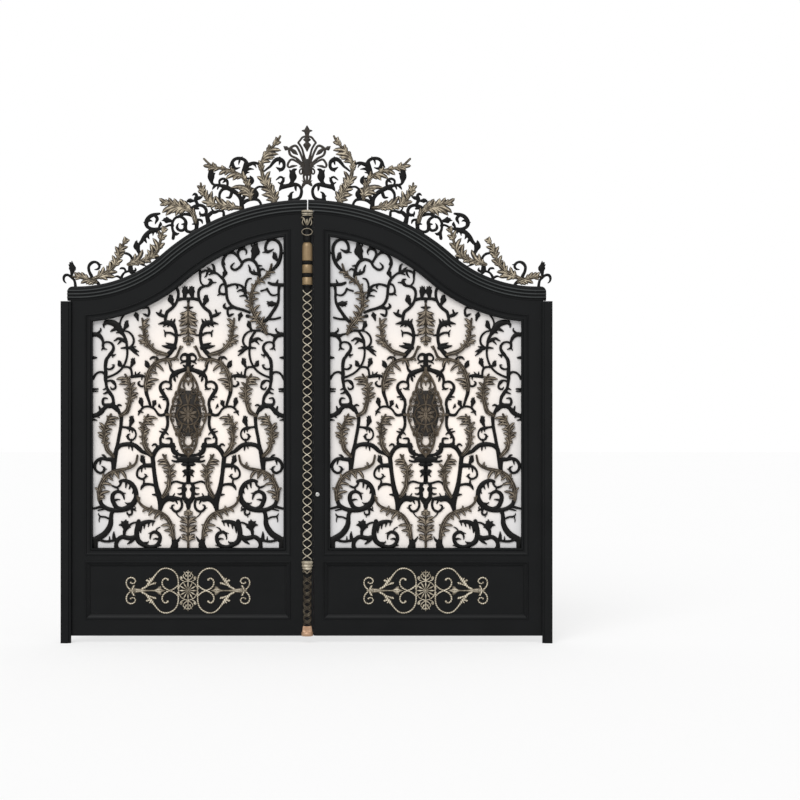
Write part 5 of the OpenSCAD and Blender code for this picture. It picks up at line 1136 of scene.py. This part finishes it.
def tube(cast, path, r, lift, n):
    rings = []
    for i, p in enumerate(path):
        a, b = path[max(i - 1, 0)], path[min(i + 1, len(path) - 1)]
        d = unit([q - s for s, q in zip(a, b)])
        side = unit((d[2], 0.0, -d[0]) if abs(d[1]) < 0.9 else (0.0, d[2], -d[1]))
        up = [d[1] * side[2] - d[2] * side[1], d[2] * side[0] - d[0] * side[2], d[0] * side[1] - d[1] * side[0]]
        rings.append([tuple(p[k] + r * (side[k] * c + up[k] * s) for k in range(3)) for c, s in circle(n)])
    cast.loft(rings, lift)


def columnPiece(name, finish, profiles, replaced=()):
    cast = Casting()
    for profile in profiles:
        halfTurned(cast, profile)
    cast.piece(name, finish, "left_leaf", replaced)


lattice, mesh = column["lattice"], column["mesh"]
core = [(lattice["low"] - column["coreDrop"], column["core"]), (lattice["high"], column["core"])]
columnPiece("column_core", scrollPaint, [core, column["shaft"]], ["column_shaft"])
cast = Casting()
for k in range(int((lattice["high"] - lattice["low"]) / lattice["pitch"])):
    for hand in (1, -1):
        r = lattice["at"] - (0.0 if hand > 0 else lattice["under"])
        tube(cast, ropeTurn(lattice, k + 0.5, hand, r), lattice["rope"], 1.0, 7)
cast.piece("column_lattice", ropeGold, "left_leaf")
cast = Casting()
for k in range(mesh["turns"]):
    for hand in (1, -1):
        for part in (0, 0.25):
            path = ropeTurn(mesh, k + 0.5 + part, hand, mesh["at"] + mesh["apart"] * hand)
            tube(cast, path, mesh["rope"], mesh["lift"], 6)
cast.piece("column_filigree", leafBronze, "left_leaf")
cast = Casting()
front = lambda u, y, z: (column["x"] + u, y, z)
mirrored = lambda u, y, z: front(-u, y, z)
for row in column["leafwork"]:
    for at in (front, mirrored):
        sweep(cast, nosed(spline(row, 5)), ridgedRib, at, column["face"], column["carved"])
for at in (front, mirrored):
    sweep(cast, nosed(curl(*column["volute"])), ridgedRib, at, column["face"] + column["voluteBack"],
          column["voluteHigh"])
sweep(cast, ovalTrack(*column["oval"], range(0, 361, 8)), roundStroke, front, column["face"] - column["ovalBack"],
      column["ovalHigh"])
cast.piece("column_carving", ropeGold, "left_leaf")
columnPiece("column_sleeves", sleeveBrass, column["sleeves"])
columnPiece("column_rings", scrollPaint, column["rings"] + [column["neck"], column["bell"]])
cast = Casting()
halfTurned(cast, column["foot"][:4])
halfTurned(cast, column["foot"][3:], *column["flutes"])
cast.piece("column_base", footCopper, "left_leaf", ["column_foot"])
columnPiece("column_top", ropeGold, [column["collar"]] + column["crest"], ["column_capital"])

# Lock: escutcheon and keyway turned as (radius, y)
lockFace = {"x": 70.0, "z": 967.0, "lift": 0.5,
            "turned": ((14, -30), (14, -36), (12.5, -38), (10, -38.6), (9.4, -37.6), (4, -37.6), (2.0, -34))}
cast = Casting()
rings = [[(lockFace["x"] + r * c, y, lockFace["z"] + r * s) for c, s in circle(24)] for r, y in lockFace["turned"]]
cast.loft(rings, lockFace["lift"])
cast.piece("lock_face", lockSteel, "right_leaf", ["lock_cylinder"])

# Floor, light and camera; lengths in metres
studio = {"camX": 2.1755, "camZ": 1.583, "away": 11.0, "wide": 5.233, "sensor": 36.0,
          "sun": 1.7, "sunSize": 40, "sunTilt": 50, "sunTurn": -16, "sky": 0.66, "glow": 0.6,
          "floor": [(-30, -20, 0), (34, -20, 0), (34, 40, 0), (-30, 40, 0)]}
scene = bpy.context.scene
white = tone(1, 1, 1)
floorMesh = bpy.data.meshes.new("floor")
floorMesh.from_pydata(studio["floor"], [], [(0, 1, 2, 3)])
floor = bpy.data.objects.new("floor", floorMesh)
scene.collection.objects.link(floor)
f = Finish("floor_pale")
pale = f.make("ShaderNodeBsdfPrincipled", None,
              {"Base Color": f.blend(f.noise(0.6), tone(0.93, 0.93, 0.93), tone(0.95, 0.95, 0.95)),
               "Roughness": 0.9, "Specular IOR Level": 0.1})
glow = f.make("ShaderNodeEmission", None, {"Color": white, "Strength": 1.0})
seen = f.make("ShaderNodeLightPath", output="Is Camera Ray") * studio["glow"]
f.make("ShaderNodeOutputMaterial", None,
       {"Surface": f.make("ShaderNodeMixShader", None, {0: seen, 1: pale, 2: glow})})
floorMesh.materials.append(f.owner)
scene.world = bpy.data.worlds.new("studio")
f = Finish("studio", scene.world)
ray = f.make("ShaderNodeLightPath")
seen = ray.out("Is Camera Ray")
for kind in ("Is Glossy Ray", "Is Transmission Ray"):  # metal shows the white surroundings too
    seen = f.make("ShaderNodeMath", {"operation": "MAXIMUM"}, {0: seen, 1: ray.out(kind)})
soft = f.make("ShaderNodeBackground", None, {"Color": white, "Strength": studio["sky"]})
bright = f.make("ShaderNodeBackground", None, {"Color": white, "Strength": 1.0})
f.make("ShaderNodeOutputWorld", None,
       {"Surface": f.make("ShaderNodeMixShader", None, {0: seen, 1: soft, 2: bright})})
sunData = bpy.data.lights.new("key", "SUN")
sunData.energy, sunData.angle = studio["sun"], math.radians(studio["sunSize"])
sun = bpy.data.objects.new("key", sunData)
sun.rotation_euler = (math.radians(studio["sunTilt"]), 0, math.radians(studio["sunTurn"]))
scene.collection.objects.link(sun)
camData = bpy.data.cameras.new("camera")
camData.sensor_width, camData.lens = studio["sensor"], studio["sensor"] * studio["away"] / studio["wide"]
cam = bpy.data.objects.new("camera", camData)
cam.location = (studio["camX"], -studio["away"], studio["camZ"])
cam.rotation_euler = (math.radians(90), 0, 0)
scene.collection.objects.link(cam)
scene.camera = cam
scene.view_settings.view_transform = "Standard"
print("studio set")
